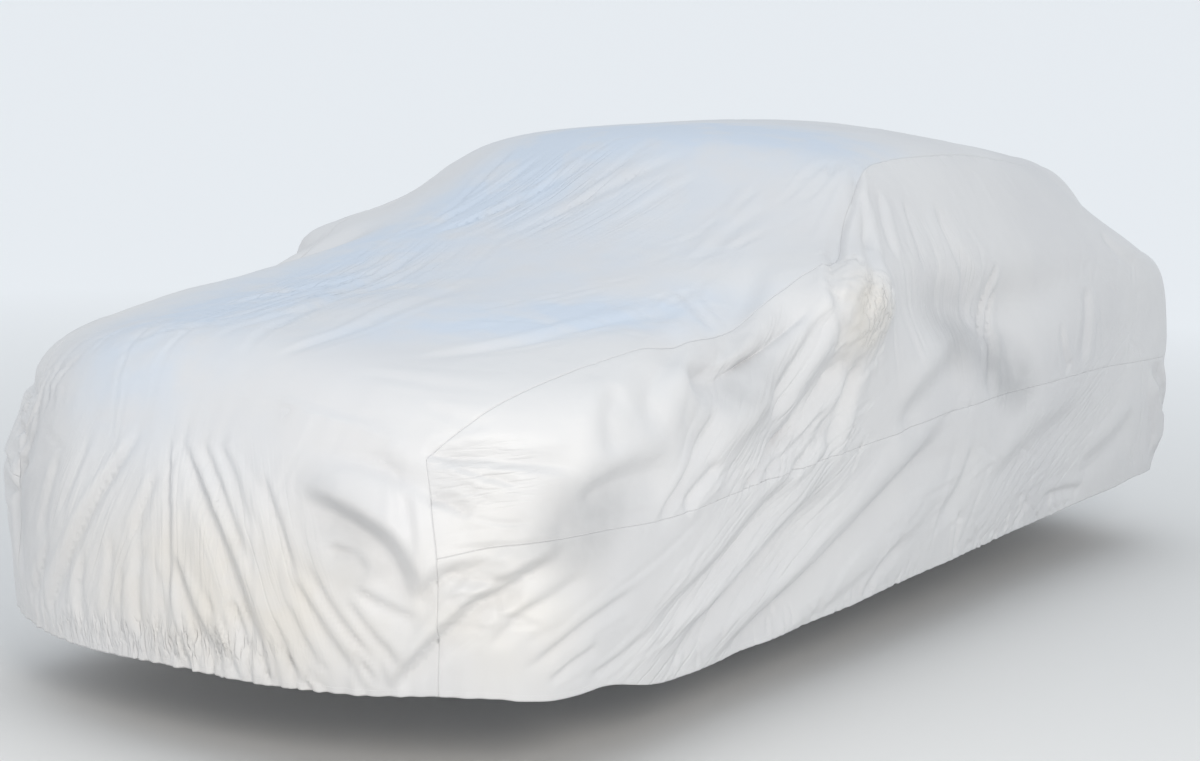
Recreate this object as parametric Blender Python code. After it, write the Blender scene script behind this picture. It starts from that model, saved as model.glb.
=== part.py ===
"""Car cover: thin silver cloth, hollow and open below, in the form in which it hangs over its load.

Five sewn panels make it: one long centre strip that runs from the nose hem up over the top and
down to the tail hem, and on each side an upper panel and a skirt, joined at a waist seam. The
draped form is worked out as one smooth function of position, the panels are drawn over it, and the
folds are raised and sunk along its normals.

Units are metres. While it is drawn, x is to the cover's left, -y is the nose, and z is the height
above the ground. The finished panels are moved so that the origin is under the top of the crown,
at the point where the cloth is held up.
"""

import bpy
import bmesh
import numpy as np

# ---- Cloth -----------------------------------------------------------------------------------
CLOTH_THICKNESS = 0.0022
HEM_THICKNESS = 0.0044            # the hem is the same cloth turned up once
SEAM_GAP = 0.0003                 # from one panel's edge to the next

# ---- Draped form: lower body -----------------------------------------------------------------
HALF_WIDTH = 0.893                # at the widest height
WIDEST_HEIGHT = 0.66
TUCK_IN = 0.150                   # how fast the sides draw in above and below that height
PLAN_REACH = 0.90                 # half width at which the nose and tail bows are given

NOSE_Y = -2.317                   # foremost point of the nose
NOSE_HEIGHT = 0.52
NOSE_BOW = 0.322                  # how far the nose corners lie back
NOSE_BOW_POWER = 2.6
NOSE_LEAN = 0.107                 # how far the nose lies back LEAN_REACH above its height
UNDER_NOSE = 0.5                  # the same below that height, as a share
LEAN_REACH = 0.40

TAIL_Y = 2.105
TAIL_HEIGHT = 0.65
TAIL_BOW = 0.278
TAIL_BOW_POWER = 3.0
TAIL_LEAN = 0.080

# Height of the body's top along its middle, from nose to tail: y, height.
BODY_TOP = (
    (-2.25, 0.973),
    (-1.55, 1.030),
    (-0.80, 1.066),
    (0.40, 0.964),
    (1.60, 1.120),
    (2.15, 1.025),
)
CAMBER = 0.05                     # fall of that top from the middle to CAMBER_REACH
NOSE_CAMBER = 0.17                # the same at the nose, where the corners droop
CAMBER_REACH = 0.85
DROOP_START_Y = -1.30
DROOP_LENGTH = 0.95
DROOP_LIMIT = 1.2
DROOP_POWER = 1.5
BODY_BLEND = 0.20                 # roundness of the body's long edges
ENDS_BLEND = 0.05                 # roundness where the nose and tail shapes meet, inside the body

# ---- Draped form: crown ----------------------------------------------------------------------
CROWN_HEIGHT = 1.452
CROWN_Y = 0.27
CROWN_SAG = 0.054                 # lengthwise fall, per metre squared
CROWN_CAMBER = 0.05               # crosswise fall at CROWN_REACH
CROWN_REACH = 0.60
CROWN_HALF_WIDTH = 0.646
CROWN_EDGE_HEIGHT = 1.40
FLANK_SLOPE = 0.619               # metres outwards for each metre down
FORE_RAKE_Y = -0.29
FORE_RAKE_HEIGHT = 1.43
FORE_RAKE_SLOPE = 0.557
FORE_RAKE_CAMBER = 0.056
AFT_RAKE_Y = 1.142
AFT_RAKE_HEIGHT = 1.40
AFT_RAKE_SLOPE = 0.489
AFT_RAKE_CAMBER = 0.05
RAKES_BLEND = 0.10                # where the two rakes meet over the crown
CROWN_EDGE_BLEND = 0.14
CROWN_END_BLEND = 0.19
WAIST_HALF_WIDTH = 0.76           # the crown block is held inside this at WAIST_CUT_HEIGHT
WAIST_CUT_HEIGHT = 0.85
WAIST_CUT_SLOPE = 0.45
WAIST_CUT_BLEND = 0.12
CROWN_FLOOR = 0.80
CROWN_FLOOR_BLEND = 0.15
CROWN_SETBACK = 0.25              # the crown block ends this far inside the nose and the tail
CROWN_SETBACK_BLEND = 0.20
JOIN_BLEND = 0.182                # how far the cloth bridges from the crown to the body
JOIN_BLEND_FORE = 1.2             # share by which it bridges further at the foot of the fore rake
JOIN_FORE_Y = -0.95
JOIN_FORE_SPREAD = 0.5

# ---- Draped form: ears, the two bulges at the foot of the fore rake ---------------------------
EAR_X, EAR_Y, EAR_Z = 0.895, -0.669, 1.031
EAR_RADIUS = 0.045
EAR_LENGTHEN = 1.2
EAR_FLATTEN = 0.9
EAR_BLEND = 0.326
TENT_ROUND = 0.35                 # rounds the tents where they meet on the middle line
TENT_RIDGE_BLEND = 0.05
TENT_TOP_BLEND = 0.08
TENT_BLEND = 0.12
TENT_CORNER = (0.651, -0.250, 1.400)  # a tent's ridge runs from the crown's corner
TENT_TIP = (0.890, -0.659, 1.076)     # to the top of the ear,
TENT_FOOT = (0.350, -0.910, 1.0647)   # its fore face runs out here on the fore rake,
TENT_BACK = (0.905, 0.500, 0.920)     # and its outer face here on the flank

# ---- Panel lines -----------------------------------------------------------------------------
# One row for each station along the left side: where the shoulder seam, the waist seam and the
# hem pass it, as x, y, z, and how long the meshes' steps are from there to the next station.
STATIONS = (
    # name, shoulder, waist, hem, step
    ("nose corner", (0.615, -2.155, 0.770), (0.668, -2.170, 0.561), (0.655, -2.140, 0.246), 0.050),
    ("nose turn", (0.665, -2.030, 0.850), (0.790, -2.085, 0.590), (0.780, -2.040, 0.243), 0.050),
    ("foredeck 1", (0.700, -1.860, 0.905), (0.900, -1.860, 0.602), (0.870, -1.820, 0.227), 0.056),
    ("foredeck 2", (0.720, -1.550, 0.955), (0.900, -1.560, 0.592), (0.870, -1.530, 0.175), 0.066),
    ("foredeck 3", (0.745, -1.150, 1.005), (0.900, -1.120, 0.620), (0.870, -1.070, 0.169), 0.066),
    ("ear front", (0.775, -0.880, 1.070), (0.900, -0.800, 0.635), (0.870, -0.780, 0.178), 0.066),
    ("ear", (0.800, -0.660, 1.140), (0.900, -0.620, 0.642), (0.870, -0.585, 0.184), 0.066),
    ("tent", (0.720, -0.420, 1.280), (0.900, -0.380, 0.655), (0.870, -0.360, 0.195), 0.066),
    ("crown front", (0.635, -0.160, 1.350), (0.900, -0.100, 0.670), (0.870, -0.100, 0.206), 0.075),
    ("crown 1", (0.615, 0.300, 1.357), (0.900, 0.300, 0.685), (0.870, 0.300, 0.218), 0.080),
    ("crown 2", (0.615, 0.750, 1.355), (0.900, 0.750, 0.696), (0.870, 0.710, 0.226), 0.080),
    ("crown rear", (0.620, 1.080, 1.320), (0.900, 1.100, 0.699), (0.870, 1.100, 0.243), 0.075),
    ("aft rake", (0.645, 1.380, 1.215), (0.900, 1.360, 0.694), (0.870, 1.350, 0.256), 0.075),
    ("deck front", (0.675, 1.620, 1.120), (0.895, 1.600, 0.686), (0.870, 1.560, 0.274), 0.066),
    ("deck", (0.670, 1.820, 1.030), (0.860, 1.800, 0.684), (0.830, 1.750, 0.285), 0.066),
    ("tail corner", (0.615, 1.955, 0.900), (0.660, 1.990, 0.690), (0.620, 1.930, 0.300), 0.066),
)
RIGHT_HEM_DROP = 0.040            # the right hem hangs lower at the nose than the left one
RIGHT_DROP_LENGTH = 1.1
UPPER_ROWS = 7                    # mesh rows from the shoulder seam to the waist seam
SKIRT_ROWS = 5                    # and from the waist seam to the hem's turn
HEM_SHARE = 0.10                  # the hem's own row, as a share of the skirt's height
STRIP_COLUMNS = 16                # across the centre strip
NOSE_COLUMNS = 32                 # across its nose and the start of the foredeck
FINE_END_Y = -1.86                # the strip is finely meshed as far back as this
STRIP_BOW = 0.13                  # the strip's middle lies this far past its edges at nose and tail
STRIP_CROWN = 0.06                # and this far above them on top
SHOULDER, WAIST, HEM, STEP = 1, 2, 3, 4   # the stations' columns

# Rays from this inner spine find the form's surface.
SPINE_X_SHARE = 0.35
SPINE_FORE_Y = -1.55
SPINE_AFT_Y = 1.45
SPINE_Z = 0.62
RAY_LENGTH = 1.8
RAY_STEPS = 60
HALVINGS = 26
NORMAL_STEP = 0.004

# ---- Folds -----------------------------------------------------------------------------------
# One row for each fold: the half width of its trough, its depth, where its ridge stands, +1 to its
# left and -1 to its right, seen from outside, and the points that it passes.
FOLDS = (
    # name, width, depth, ridge, points
    ("nose middle", 0.040, 0.020, 1, ((-0.05, -2.29, 0.74), (-0.01, -2.32, 0.52), (-0.03, -2.30, 0.25))),
    ("nose far fan", 0.045, 0.018, -1, ((-0.13, -2.28, 0.75), (-0.31, -2.30, 0.51), (-0.50, -2.22, 0.22))),
    ("nose near fan", 0.042, 0.022, 1, ((0.00, -2.28, 0.75), (0.16, -2.31, 0.52), (0.27, -2.28, 0.25))),
    ("nose low", 0.034, 0.014, 1, ((0.00, -2.32, 0.50), (0.06, -2.31, 0.36), (0.14, -2.29, 0.23))),
    ("nose inner", 0.034, 0.010, 1, ((0.11, -2.28, 0.75), (0.18, -2.31, 0.57), (0.22, -2.30, 0.47))),
    ("nose middle near", 0.036, 0.012, 1, ((0.25, -2.29, 0.69), (0.31, -2.29, 0.60), (0.36, -2.28, 0.48))),
    ("nose plumb", 0.034, 0.010, -1, ((-0.10, -2.32, 0.50), (-0.12, -2.31, 0.38), (-0.11, -2.30, 0.24))),
    ("nose far plumb", 0.036, 0.011, -1,
     ((-0.30, -2.29, 0.44), (-0.33, -2.28, 0.34), (-0.32, -2.27, 0.24))),
    ("nose far corner", 0.045, 0.016, -1,
     ((-0.56, -2.19, 0.72), (-0.66, -2.16, 0.52), (-0.62, -2.17, 0.28))),
    ("nose near low", 0.036, 0.014, 1, ((0.36, -2.28, 0.47), (0.42, -2.27, 0.38), (0.48, -2.24, 0.26))),
    ("nose corner low", 0.034, 0.014, 1, ((0.45, -2.26, 0.45), (0.53, -2.23, 0.39), (0.60, -2.19, 0.31))),
    ("brow", 0.036, 0.016, 1,
     ((0.22, -2.23, 0.86), (0.37, -2.23, 0.81), (0.50, -2.20, 0.78), (0.61, -2.17, 0.74))),
    ("corner sweep", 0.045, 0.030, 1,
     ((0.34, -2.27, 0.68), (0.49, -2.24, 0.64), (0.59, -2.21, 0.57), (0.65, -2.18, 0.44))),
    ("skirt sweep", 0.048, 0.034, -1,
     ((0.60, -2.18, 0.27), (0.68, -2.16, 0.39), (0.78, -2.09, 0.50), (0.88, -1.96, 0.58))),
    ("corner pinch", 0.036, 0.014, -1,
     ((0.62, -2.16, 0.77), (0.70, -2.10, 0.77), (0.80, -2.03, 0.77), (0.88, -1.91, 0.75))),
    ("corner pinch low", 0.034, 0.010, -1, ((0.67, -2.16, 0.53), (0.73, -2.13, 0.51), (0.81, -2.06, 0.51))),
    ("side long low", 0.042, 0.015, 1,
     ((0.87, -1.53, 0.20), (0.88, -1.26, 0.33), (0.89, -0.99, 0.44), (0.89, -0.69, 0.57))),
    ("side long", 0.050, 0.020, 1,
     ((0.86, -1.34, 0.17), (0.87, -0.88, 0.30), (0.89, -0.43, 0.47), (0.89, 0.10, 0.68))),
    ("side soft", 0.060, 0.018, 1, ((0.89, -0.42, 0.66), (0.89, -0.14, 0.75), (0.88, 0.12, 0.83))),
    ("side fore", 0.050, 0.013, 1, ((0.88, -1.66, 0.32), (0.89, -1.29, 0.45), (0.90, -0.94, 0.62))),
    ("side fore high", 0.045, 0.013, 1, ((0.89, -1.26, 0.60), (0.90, -1.10, 0.68), (0.90, -0.96, 0.77))),
    ("ear fan high", 0.045, 0.016, 1,
     ((0.88, -0.86, 1.07), (0.89, -1.04, 1.00), (0.90, -1.23, 0.91), (0.89, -1.44, 0.85))),
    ("ear fan", 0.042, 0.015, 1, ((0.91, -0.88, 1.03), (0.91, -1.01, 0.92), (0.90, -1.13, 0.80))),
    ("ear fan low", 0.045, 0.018, 1, ((0.93, -0.75, 0.92), (0.90, -0.94, 0.77), (0.90, -1.19, 0.63))),
    ("ear drop", 0.042, 0.015, 1, ((0.92, -0.68, 0.90), (0.90, -0.72, 0.77), (0.90, -0.82, 0.64))),
    ("shoulder drop", 0.055, 0.020, 1, ((0.64, -0.78, 1.14), (0.81, -1.21, 1.00), (0.89, -1.48, 0.85))),
    ("shoulder drop low", 0.045, 0.014, 1, ((0.90, -1.08, 0.98), (0.90, -1.31, 0.83), (0.89, -1.55, 0.71))),
    ("foredeck drop", 0.050, 0.014, 1,
     ((0.69, -1.25, 1.02), (0.82, -1.49, 0.96), (0.86, -1.62, 0.89), (0.89, -1.66, 0.79))),
    ("fore quarter", 0.045, 0.010, 1, ((0.88, -1.95, 0.67), (0.89, -1.78, 0.71), (0.89, -1.56, 0.71))),
    ("skirt corner", 0.040, 0.012, 1, ((0.82, -2.04, 0.37), (0.86, -1.98, 0.45), (0.89, -1.87, 0.51))),
    ("ear line", 0.034, 0.012, 1,
     ((0.63, -0.22, 1.38), (0.72, -0.40, 1.29), (0.77, -0.57, 1.19), (0.87, -0.78, 1.10))),
    ("flank ridge", 0.045, 0.016, -1,
     ((0.74, 0.06, 1.28), (0.82, 0.07, 1.15), (0.84, 0.14, 1.02), (0.87, 0.18, 0.87))),
    ("flank pair", 0.040, 0.014, 1, ((0.80, 0.34, 1.06), (0.84, 0.29, 0.95), (0.88, 0.18, 0.83))),
    ("flank light", 0.045, 0.012, 1, ((0.85, 0.35, 0.92), (0.88, 0.31, 0.80), (0.89, 0.23, 0.68))),
    ("aft quarter", 0.045, 0.010, 1, ((0.86, 0.98, 0.98), (0.88, 0.97, 0.88), (0.89, 0.93, 0.70))),
    ("tail corner", 0.045, 0.016, -1, ((0.89, 1.62, 0.66), (0.85, 1.80, 0.52), (0.80, 1.85, 0.36))),
    ("foredeck long", 0.050, 0.012, 1,
     ((0.09, -2.20, 0.93), (-0.03, -1.83, 1.01), (-0.22, -1.35, 1.04), (-0.29, -0.97, 1.12))),
    ("foredeck long near", 0.050, 0.010, 1,
     ((0.17, -2.18, 0.94), (0.20, -1.96, 0.99), (0.13, -1.62, 1.02), (0.05, -1.20, 1.07))),
    ("foredeck near", 0.050, 0.010, 1,
     ((0.45, -2.05, 0.95), (0.53, -1.74, 0.98), (0.56, -1.42, 1.01), (0.65, -1.10, 1.05))),
    ("foredeck far", 0.045, 0.008, 1, ((-0.36, -1.75, 1.00), (-0.31, -1.47, 1.03), (-0.24, -1.20, 1.06))),
    ("rake long", 0.045, 0.010, 1, ((-0.38, -0.92, 1.14), (-0.21, -0.70, 1.25), (-0.07, -0.49, 1.37))),
    ("rake long near", 0.045, 0.010, 1, ((-0.09, -0.93, 1.16), (0.03, -0.65, 1.28), (0.21, -0.44, 1.39))),
    ("tail middle", 0.045, 0.016, 1, ((0.02, 2.07, 0.82), (0.00, 2.10, 0.60), (0.03, 2.08, 0.33))),
    ("tail left", 0.045, 0.016, 1, ((0.30, 2.05, 0.84), (0.36, 2.07, 0.62), (0.41, 2.05, 0.34))),
    ("tail right", 0.048, 0.018, -1, ((-0.24, 2.06, 0.84), (-0.33, 2.07, 0.60), (-0.36, 2.05, 0.34))),
    ("tail far", 0.045, 0.014, -1, ((-0.50, 2.02, 0.80), (-0.58, 2.01, 0.58), (-0.62, 1.97, 0.36))),
    ("deck slant", 0.050, 0.010, 1, ((-0.50, 1.10, 1.30), (-0.40, 1.42, 1.18), (-0.22, 1.80, 1.10))),
)
FOLD_FULLNESS = 1.35              # every fold's depth is its row's times this
# The right side hangs in folds of the same kind, a little along and a little shallower.
RIGHT_SHIFT_Y = 0.09
RIGHT_SHIFT_LENGTH = 2.4          # the shift shrinks towards the nose, to nothing this far fore
RIGHT_DEPTH_SHARE = 0.85
SIDE_FOLD_X = 0.60                # a fold whose points all lie outside this is a side fold
RIDGE_SHARE = 0.75                # a fold's ridge stands this high for a trough of 1
RIDGE_PLACE = 1.35                # and this many half widths beside it
FOLD_FADE = 0.22                  # share of a fold's length over which each end fades out
CURVE_STEPS = 8                   # steps between two points of a fold
FOLD_REACH = 4.0                  # half widths past which a fold is not felt

# Loose cloth stands out in a round bulge here and is drawn in there.
BULGES = (
    # name, place, reach, height
    ("far nose corner", (-0.80, -2.08, 0.57), 0.12, 0.022),
    ("above it", (-0.78, -2.08, 0.75), 0.07, -0.014),
)
# Long soft swells that keep every panel from lying flat.
SWELLS = (
    # turn in radians per metre along x, y and z, height
    ((3.4, 1.8, 4.6), 0.0050),
    ((-5.8, 4.2, 2.6), 0.0035),
    ((1.6, 7.4, -6.2), 0.0025),
)
HEM_GATHERS_PER_METRE = 5.5       # the elastic draws the nose and tail hems into waves
HEM_GATHER_DEPTH = 0.010
HEM_GATHER_HEIGHT = 0.13          # how far up from the hem the waves die out
HEM_GATHER_START_Y = 1.75         # they start this far fore and aft of the middle
HEM_GATHER_GROWTH = 0.30          # and are full this much further on
HEM_GATHER_DRIFT = 1.7            # the waves stand unevenly, by this many radians
HEM_GATHER_DRIFT_TURN = 5.0       # that come and go at this many radians per metre

SILVER = (0.62, 0.66, 0.70)
SILVER_SHADE = (0.58, 0.60, 0.64)
CLOTH_ROUGHNESS = 0.42


def smooth_max(a, b, blend):
    """Larger of two fields, rounded off where they cross."""
    near = np.maximum(blend - np.abs(a - b), 0.0) / blend
    return np.maximum(a, b) + near ** 3 * blend / 6.0


def smooth_min(a, b, blend):
    """Smaller of two fields, rounded off where they cross."""
    return -smooth_max(-a, -b, blend)


def hermite(value, knots):
    """Smooth height through (place, height) knots."""
    place, height = np.array(knots).T
    slope = np.gradient(height, place)
    i = np.clip(np.searchsorted(place, value) - 1, 0, len(place) - 2)
    span = place[i + 1] - place[i]
    t = np.clip((value - place[i]) / span, -0.5, 1.5)
    start = (1 + 2 * t) * (1 - t) ** 2 * height[i] + t * (1 - t) ** 2 * span * slope[i]
    end = t * t * (3 - 2 * t) * height[i + 1] + t * t * (t - 1) * span * slope[i + 1]
    return start + end


def nose_field(x, y, z):
    """Positive in front of the bowed nose."""
    bow = NOSE_BOW * (x / PLAN_REACH) ** NOSE_BOW_POWER
    lean = NOSE_LEAN * ((z - NOSE_HEIGHT) / LEAN_REACH) ** 2
    return NOSE_Y + bow + lean * np.where(z > NOSE_HEIGHT, 1.0, UNDER_NOSE) - y


def tail_field(x, y, z):
    """Positive behind the bowed tail."""
    bow = TAIL_BOW * (x / PLAN_REACH) ** TAIL_BOW_POWER
    return y - (TAIL_Y - bow - TAIL_LEAN * ((z - TAIL_HEIGHT) / LEAN_REACH) ** 2)


def body_field(x, y, z):
    """Positive outside the long lower body."""
    side = x - (HALF_WIDTH - TUCK_IN * (z - WIDEST_HEIGHT) ** 2)
    droop = np.clip((DROOP_START_Y - y) / DROOP_LENGTH, 0.0, DROOP_LIMIT) ** DROOP_POWER
    camber = CAMBER + (NOSE_CAMBER - CAMBER) * droop
    top = z - hermite(y, BODY_TOP) + camber * (x / CAMBER_REACH) ** 2
    ends = smooth_max(nose_field(x, y, z), tail_field(x, y, z), ENDS_BLEND)
    return smooth_max(smooth_max(side, top, BODY_BLEND), ends, BODY_BLEND)


def plane_field(points, a, b, c, outward):
    """Distance outside the plane through three points."""
    normal = np.cross(b - a, c - a)
    normal /= np.linalg.norm(normal)
    return (points - a) @ (normal * np.sign(normal @ outward))


def tent_field(x, y, z):
    """Positive outside the tent of cloth that leads from the crown's corner over the ear."""
    corner, tip, foot, back = (
        np.array((np.hypot(point[0], TENT_ROUND), point[1], point[2]))
        for point in (TENT_CORNER, TENT_TIP, TENT_FOOT, TENT_BACK))
    points = np.stack([np.hypot(x, TENT_ROUND), y, z], -1)
    fore_face = plane_field(points, corner, tip, foot, np.array((0.0, -1.0, 1.0)))
    outer_face = plane_field(points, corner, tip, back, np.array((1.0, 0.0, 0.0)))
    return smooth_max(fore_face, outer_face, TENT_RIDGE_BLEND)


def crown_field(x, y, z):
    """Positive outside the crown, its two rakes and its tents."""
    flank = x - (CROWN_HALF_WIDTH + FLANK_SLOPE * (CROWN_EDGE_HEIGHT - z))
    flank /= np.hypot(1.0, FLANK_SLOPE)
    across = (x / CROWN_REACH) ** 2
    top = z - (CROWN_HEIGHT - CROWN_SAG * (y - CROWN_Y) ** 2 - CROWN_CAMBER * across)
    fore = z - FORE_RAKE_HEIGHT - FORE_RAKE_SLOPE * (y - FORE_RAKE_Y) + FORE_RAKE_CAMBER * across
    aft = z - AFT_RAKE_HEIGHT + AFT_RAKE_SLOPE * (y - AFT_RAKE_Y) + AFT_RAKE_CAMBER * across
    fore /= np.hypot(1.0, FORE_RAKE_SLOPE)
    aft /= np.hypot(1.0, AFT_RAKE_SLOPE)
    ends = smooth_max(fore, aft, RAKES_BLEND)
    crown = smooth_max(smooth_max(flank, top, CROWN_EDGE_BLEND), ends, CROWN_END_BLEND)
    tent = smooth_max(tent_field(x, y, z), top, TENT_TOP_BLEND)
    crown = smooth_min(crown, tent, TENT_BLEND)
    crown = smooth_max(crown, CROWN_FLOOR - z, CROWN_FLOOR_BLEND)
    waist = x - (WAIST_HALF_WIDTH + WAIST_CUT_SLOPE * (z - WAIST_CUT_HEIGHT))
    crown = smooth_max(crown, waist, WAIST_CUT_BLEND)
    inside_ends = smooth_max(nose_field(x, y, z), tail_field(x, y, z), ENDS_BLEND) + CROWN_SETBACK
    return smooth_max(crown, inside_ends, CROWN_SETBACK_BLEND)


def form_field(points):
    """Negative inside the draped form and positive outside; the cloth lies where it is zero."""
    x, y, z = np.abs(points[..., 0]), points[..., 1], points[..., 2]
    bridge = 1.0 + JOIN_BLEND_FORE * np.exp(-((y - JOIN_FORE_Y) / JOIN_FORE_SPREAD) ** 2)
    form = smooth_min(body_field(x, y, z), crown_field(x, y, z), JOIN_BLEND * bridge)
    ear = np.sqrt((x - EAR_X) ** 2 + ((y - EAR_Y) / EAR_LENGTHEN) ** 2 + ((z - EAR_Z) / EAR_FLATTEN) ** 2)
    return smooth_min(form, ear - EAR_RADIUS, EAR_BLEND)


def form_normals(points):
    """Unit normals of the draped form."""
    normals = np.zeros(points.shape)
    for axis in range(3):
        shift = np.zeros(3)
        shift[axis] = NORMAL_STEP
        normals[..., axis] = form_field(points + shift) - form_field(points - shift)
    return normals / np.linalg.norm(normals, axis=-1, keepdims=True)


def onto_form(aims):
    """Surface points of the form on the rays from its spine through the given aims."""
    start = np.stack([
        aims[..., 0] * SPINE_X_SHARE,
        np.clip(aims[..., 1], SPINE_FORE_Y, SPINE_AFT_Y),
        np.full(aims.shape[:-1], SPINE_Z),
    ], -1)
    ray = aims - start
    ray /= np.linalg.norm(ray, axis=-1, keepdims=True)
    inner = np.zeros(aims.shape[:-1])
    inside = np.ones(aims.shape[:-1], bool)
    for reach in np.linspace(0.0, RAY_LENGTH, RAY_STEPS + 1)[1:]:
        inside &= form_field(start + ray * reach) < 0.0
        inner = np.where(inside, reach, inner)
    outer = inner + RAY_LENGTH / RAY_STEPS
    for _ in range(HALVINGS):
        middle = (inner + outer) / 2.0
        is_in = form_field(start + ray * middle[..., None]) < 0.0
        inner = np.where(is_in, middle, inner)
        outer = np.where(is_in, outer, middle)
    return start + ray * ((inner + outer) / 2.0)[..., None]


def curve_at(points, u):
    """Points of a smooth curve at parameter u, which is 0 at its first point and 1 more at each next."""
    points = np.array(points, float)
    padded = np.vstack([2 * points[0] - points[1], points, 2 * points[-1] - points[-2]])
    i = np.clip(np.floor(u).astype(int), 0, len(points) - 2)
    t = (u - i)[:, None]
    before, start, end, after = padded[i], padded[i + 1], padded[i + 2], padded[i + 3]
    return 0.5 * (
        2 * start + (end - before) * t
        + (2 * before - 5 * start + 4 * end - after) * t ** 2
        + (3 * start - before - 3 * end + after) * t ** 3)


def right_side_folds():
    """The side folds again, for the right side."""
    folds = []
    for name, width, depth, ridge, points in FOLDS:
        if min(point[0] for point in points) > SIDE_FOLD_X:
            moved = tuple((-x, y + RIGHT_SHIFT_Y * (1 + y / RIGHT_SHIFT_LENGTH), z) for x, y, z in points)
            folds.append((name + " right", width, depth * RIGHT_DEPTH_SHARE, -ridge, moved))
    return tuple(folds)


def fold_relief(points, normals, fold):
    """Height that one fold adds at each point."""
    _, width, depth, ridge, passes = fold
    spans = len(passes) - 1
    curve = onto_form(curve_at(passes, np.linspace(0.0, spans, spans * CURVE_STEPS + 1)))
    relief = np.zeros(len(points))
    box_low = curve.min(0) - FOLD_REACH * width
    box_high = curve.max(0) + FOLD_REACH * width
    near = np.all((points > box_low) & (points < box_high), axis=1)
    if not near.any():
        return relief
    place = points[near]
    normal = normals[near]
    best = np.full(len(place), 1e9)
    aside = np.zeros(len(place))
    along = np.zeros(len(place))
    segments = len(curve) - 1
    for i in range(segments):
        run = curve[i + 1] - curve[i]
        t = np.clip((place - curve[i]) @ run / (run @ run), 0.0, 1.0)
        off = place - curve[i] - t[:, None] * run
        distance = np.linalg.norm(off, axis=1)
        closer = distance < best
        best = np.where(closer, distance, best)
        left = np.cross(normal, run)
        signed = (off * left).sum(1) / np.linalg.norm(left, axis=1)
        aside = np.where(closer, signed, aside)
        along = np.where(closer, (i + t) / segments, along)
    past_end = np.sqrt(np.maximum(best ** 2 - aside ** 2, 0.0))
    fade = np.clip(along / FOLD_FADE, 0.0, 1.0) * np.clip((1.0 - along) / FOLD_FADE, 0.0, 1.0)
    fade = (fade * fade * (3 - 2 * fade)) * np.exp(-(past_end / width) ** 2)
    trough = -np.exp(-(aside / width) ** 2)
    crest = RIDGE_SHARE * np.exp(-((aside - ridge * RIDGE_PLACE * width) / width) ** 2)
    relief[near] = FOLD_FULLNESS * depth * fade * (trough + crest)
    return relief


def hem_height(points):
    """Rough height of the hem near each point, for the waves that die out above it."""
    hem = np.array([station[HEM] for station in STATIONS])
    return np.interp(points[:, 1], hem[:, 1], hem[:, 2])


def drape(points):
    """Moves surface points out and in along the form's normals, and returns both."""
    shape = points.shape
    flat = points.reshape(-1, 3)
    normals = form_normals(flat)
    relief = np.zeros(len(flat))
    for turn, height in SWELLS:
        relief += height * np.sin(flat @ np.array(turn))
    for _, place, reach, height in BULGES:
        relief += height * np.exp(-(np.linalg.norm(flat - place, axis=1) / reach) ** 2)
    for fold in FOLDS + right_side_folds():
        relief += fold_relief(flat, normals, fold)
    above = np.clip((flat[:, 2] - hem_height(flat)) / HEM_GATHER_HEIGHT, 0.0, 1.0)
    at_ends = np.clip((np.abs(flat[:, 1]) - HEM_GATHER_START_Y) / HEM_GATHER_GROWTH, 0.0, 1.0)
    drift = HEM_GATHER_DRIFT * np.sin(HEM_GATHER_DRIFT_TURN * flat[:, 0])
    wave = np.sin(2 * np.pi * HEM_GATHERS_PER_METRE * flat[:, 0] + drift)
    relief += HEM_GATHER_DEPTH * (1.0 - above) ** 2 * at_ends * wave
    moved = flat + normals * relief[:, None]
    return moved.reshape(shape), normals.reshape(shape)


def station_points(column, side):
    """Aim points along one seam or hem of one side, with each station's steps between them."""
    corners = np.array([station[column] for station in STATIONS])
    if column == HEM and side < 0:
        drop = np.clip(1.0 - (corners[:, 1] - corners[0, 1]) / RIGHT_DROP_LENGTH, 0.0, 1.0)
        corners[:, 2] -= RIGHT_HEM_DROP * drop
    corners[:, 0] *= side
    u = []
    for i in range(len(STATIONS) - 1):
        length = np.linalg.norm(np.subtract(STATIONS[i + 1][WAIST], STATIONS[i][WAIST]))
        steps = max(1, round(length / STATIONS[i][STEP]))
        u.extend(i + np.arange(steps) / steps)
    return curve_at(corners, np.array(u + [len(STATIONS) - 1.0]))


def skirt_shares():
    """How far down the skirt each of its rows lies; the last row is the hem's turn."""
    rows = np.linspace(0.0, 1.0 - HEM_SHARE, SKIRT_ROWS + 1)
    return np.append(rows, 1.0)


def between(upper, lower, shares):
    """Rows of aims from one line down to another."""
    return np.array([upper + (lower - upper) * share for share in shares])


def side_aims(side):
    """Aims of one side's upper panel and skirt, in rows from the top down."""
    shoulder = station_points(SHOULDER, side)
    waist = station_points(WAIST, side)
    hem = station_points(HEM, side)
    upper = between(shoulder, waist, np.linspace(0.0, 1.0, UPPER_ROWS + 1))
    return upper, between(waist, hem, skirt_shares())


def strip_edge(side):
    """Aims up the nose, along the shoulder and down the tail: the strip's edge on one side."""
    upper, skirt = side_aims(side)
    up = np.vstack([skirt[::-1, 0], upper[-2:0:-1, 0]])
    down = np.vstack([upper[1:-1, -1], skirt[:, -1]])
    return np.vstack([up, upper[0], down]), len(up), len(down)


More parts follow.
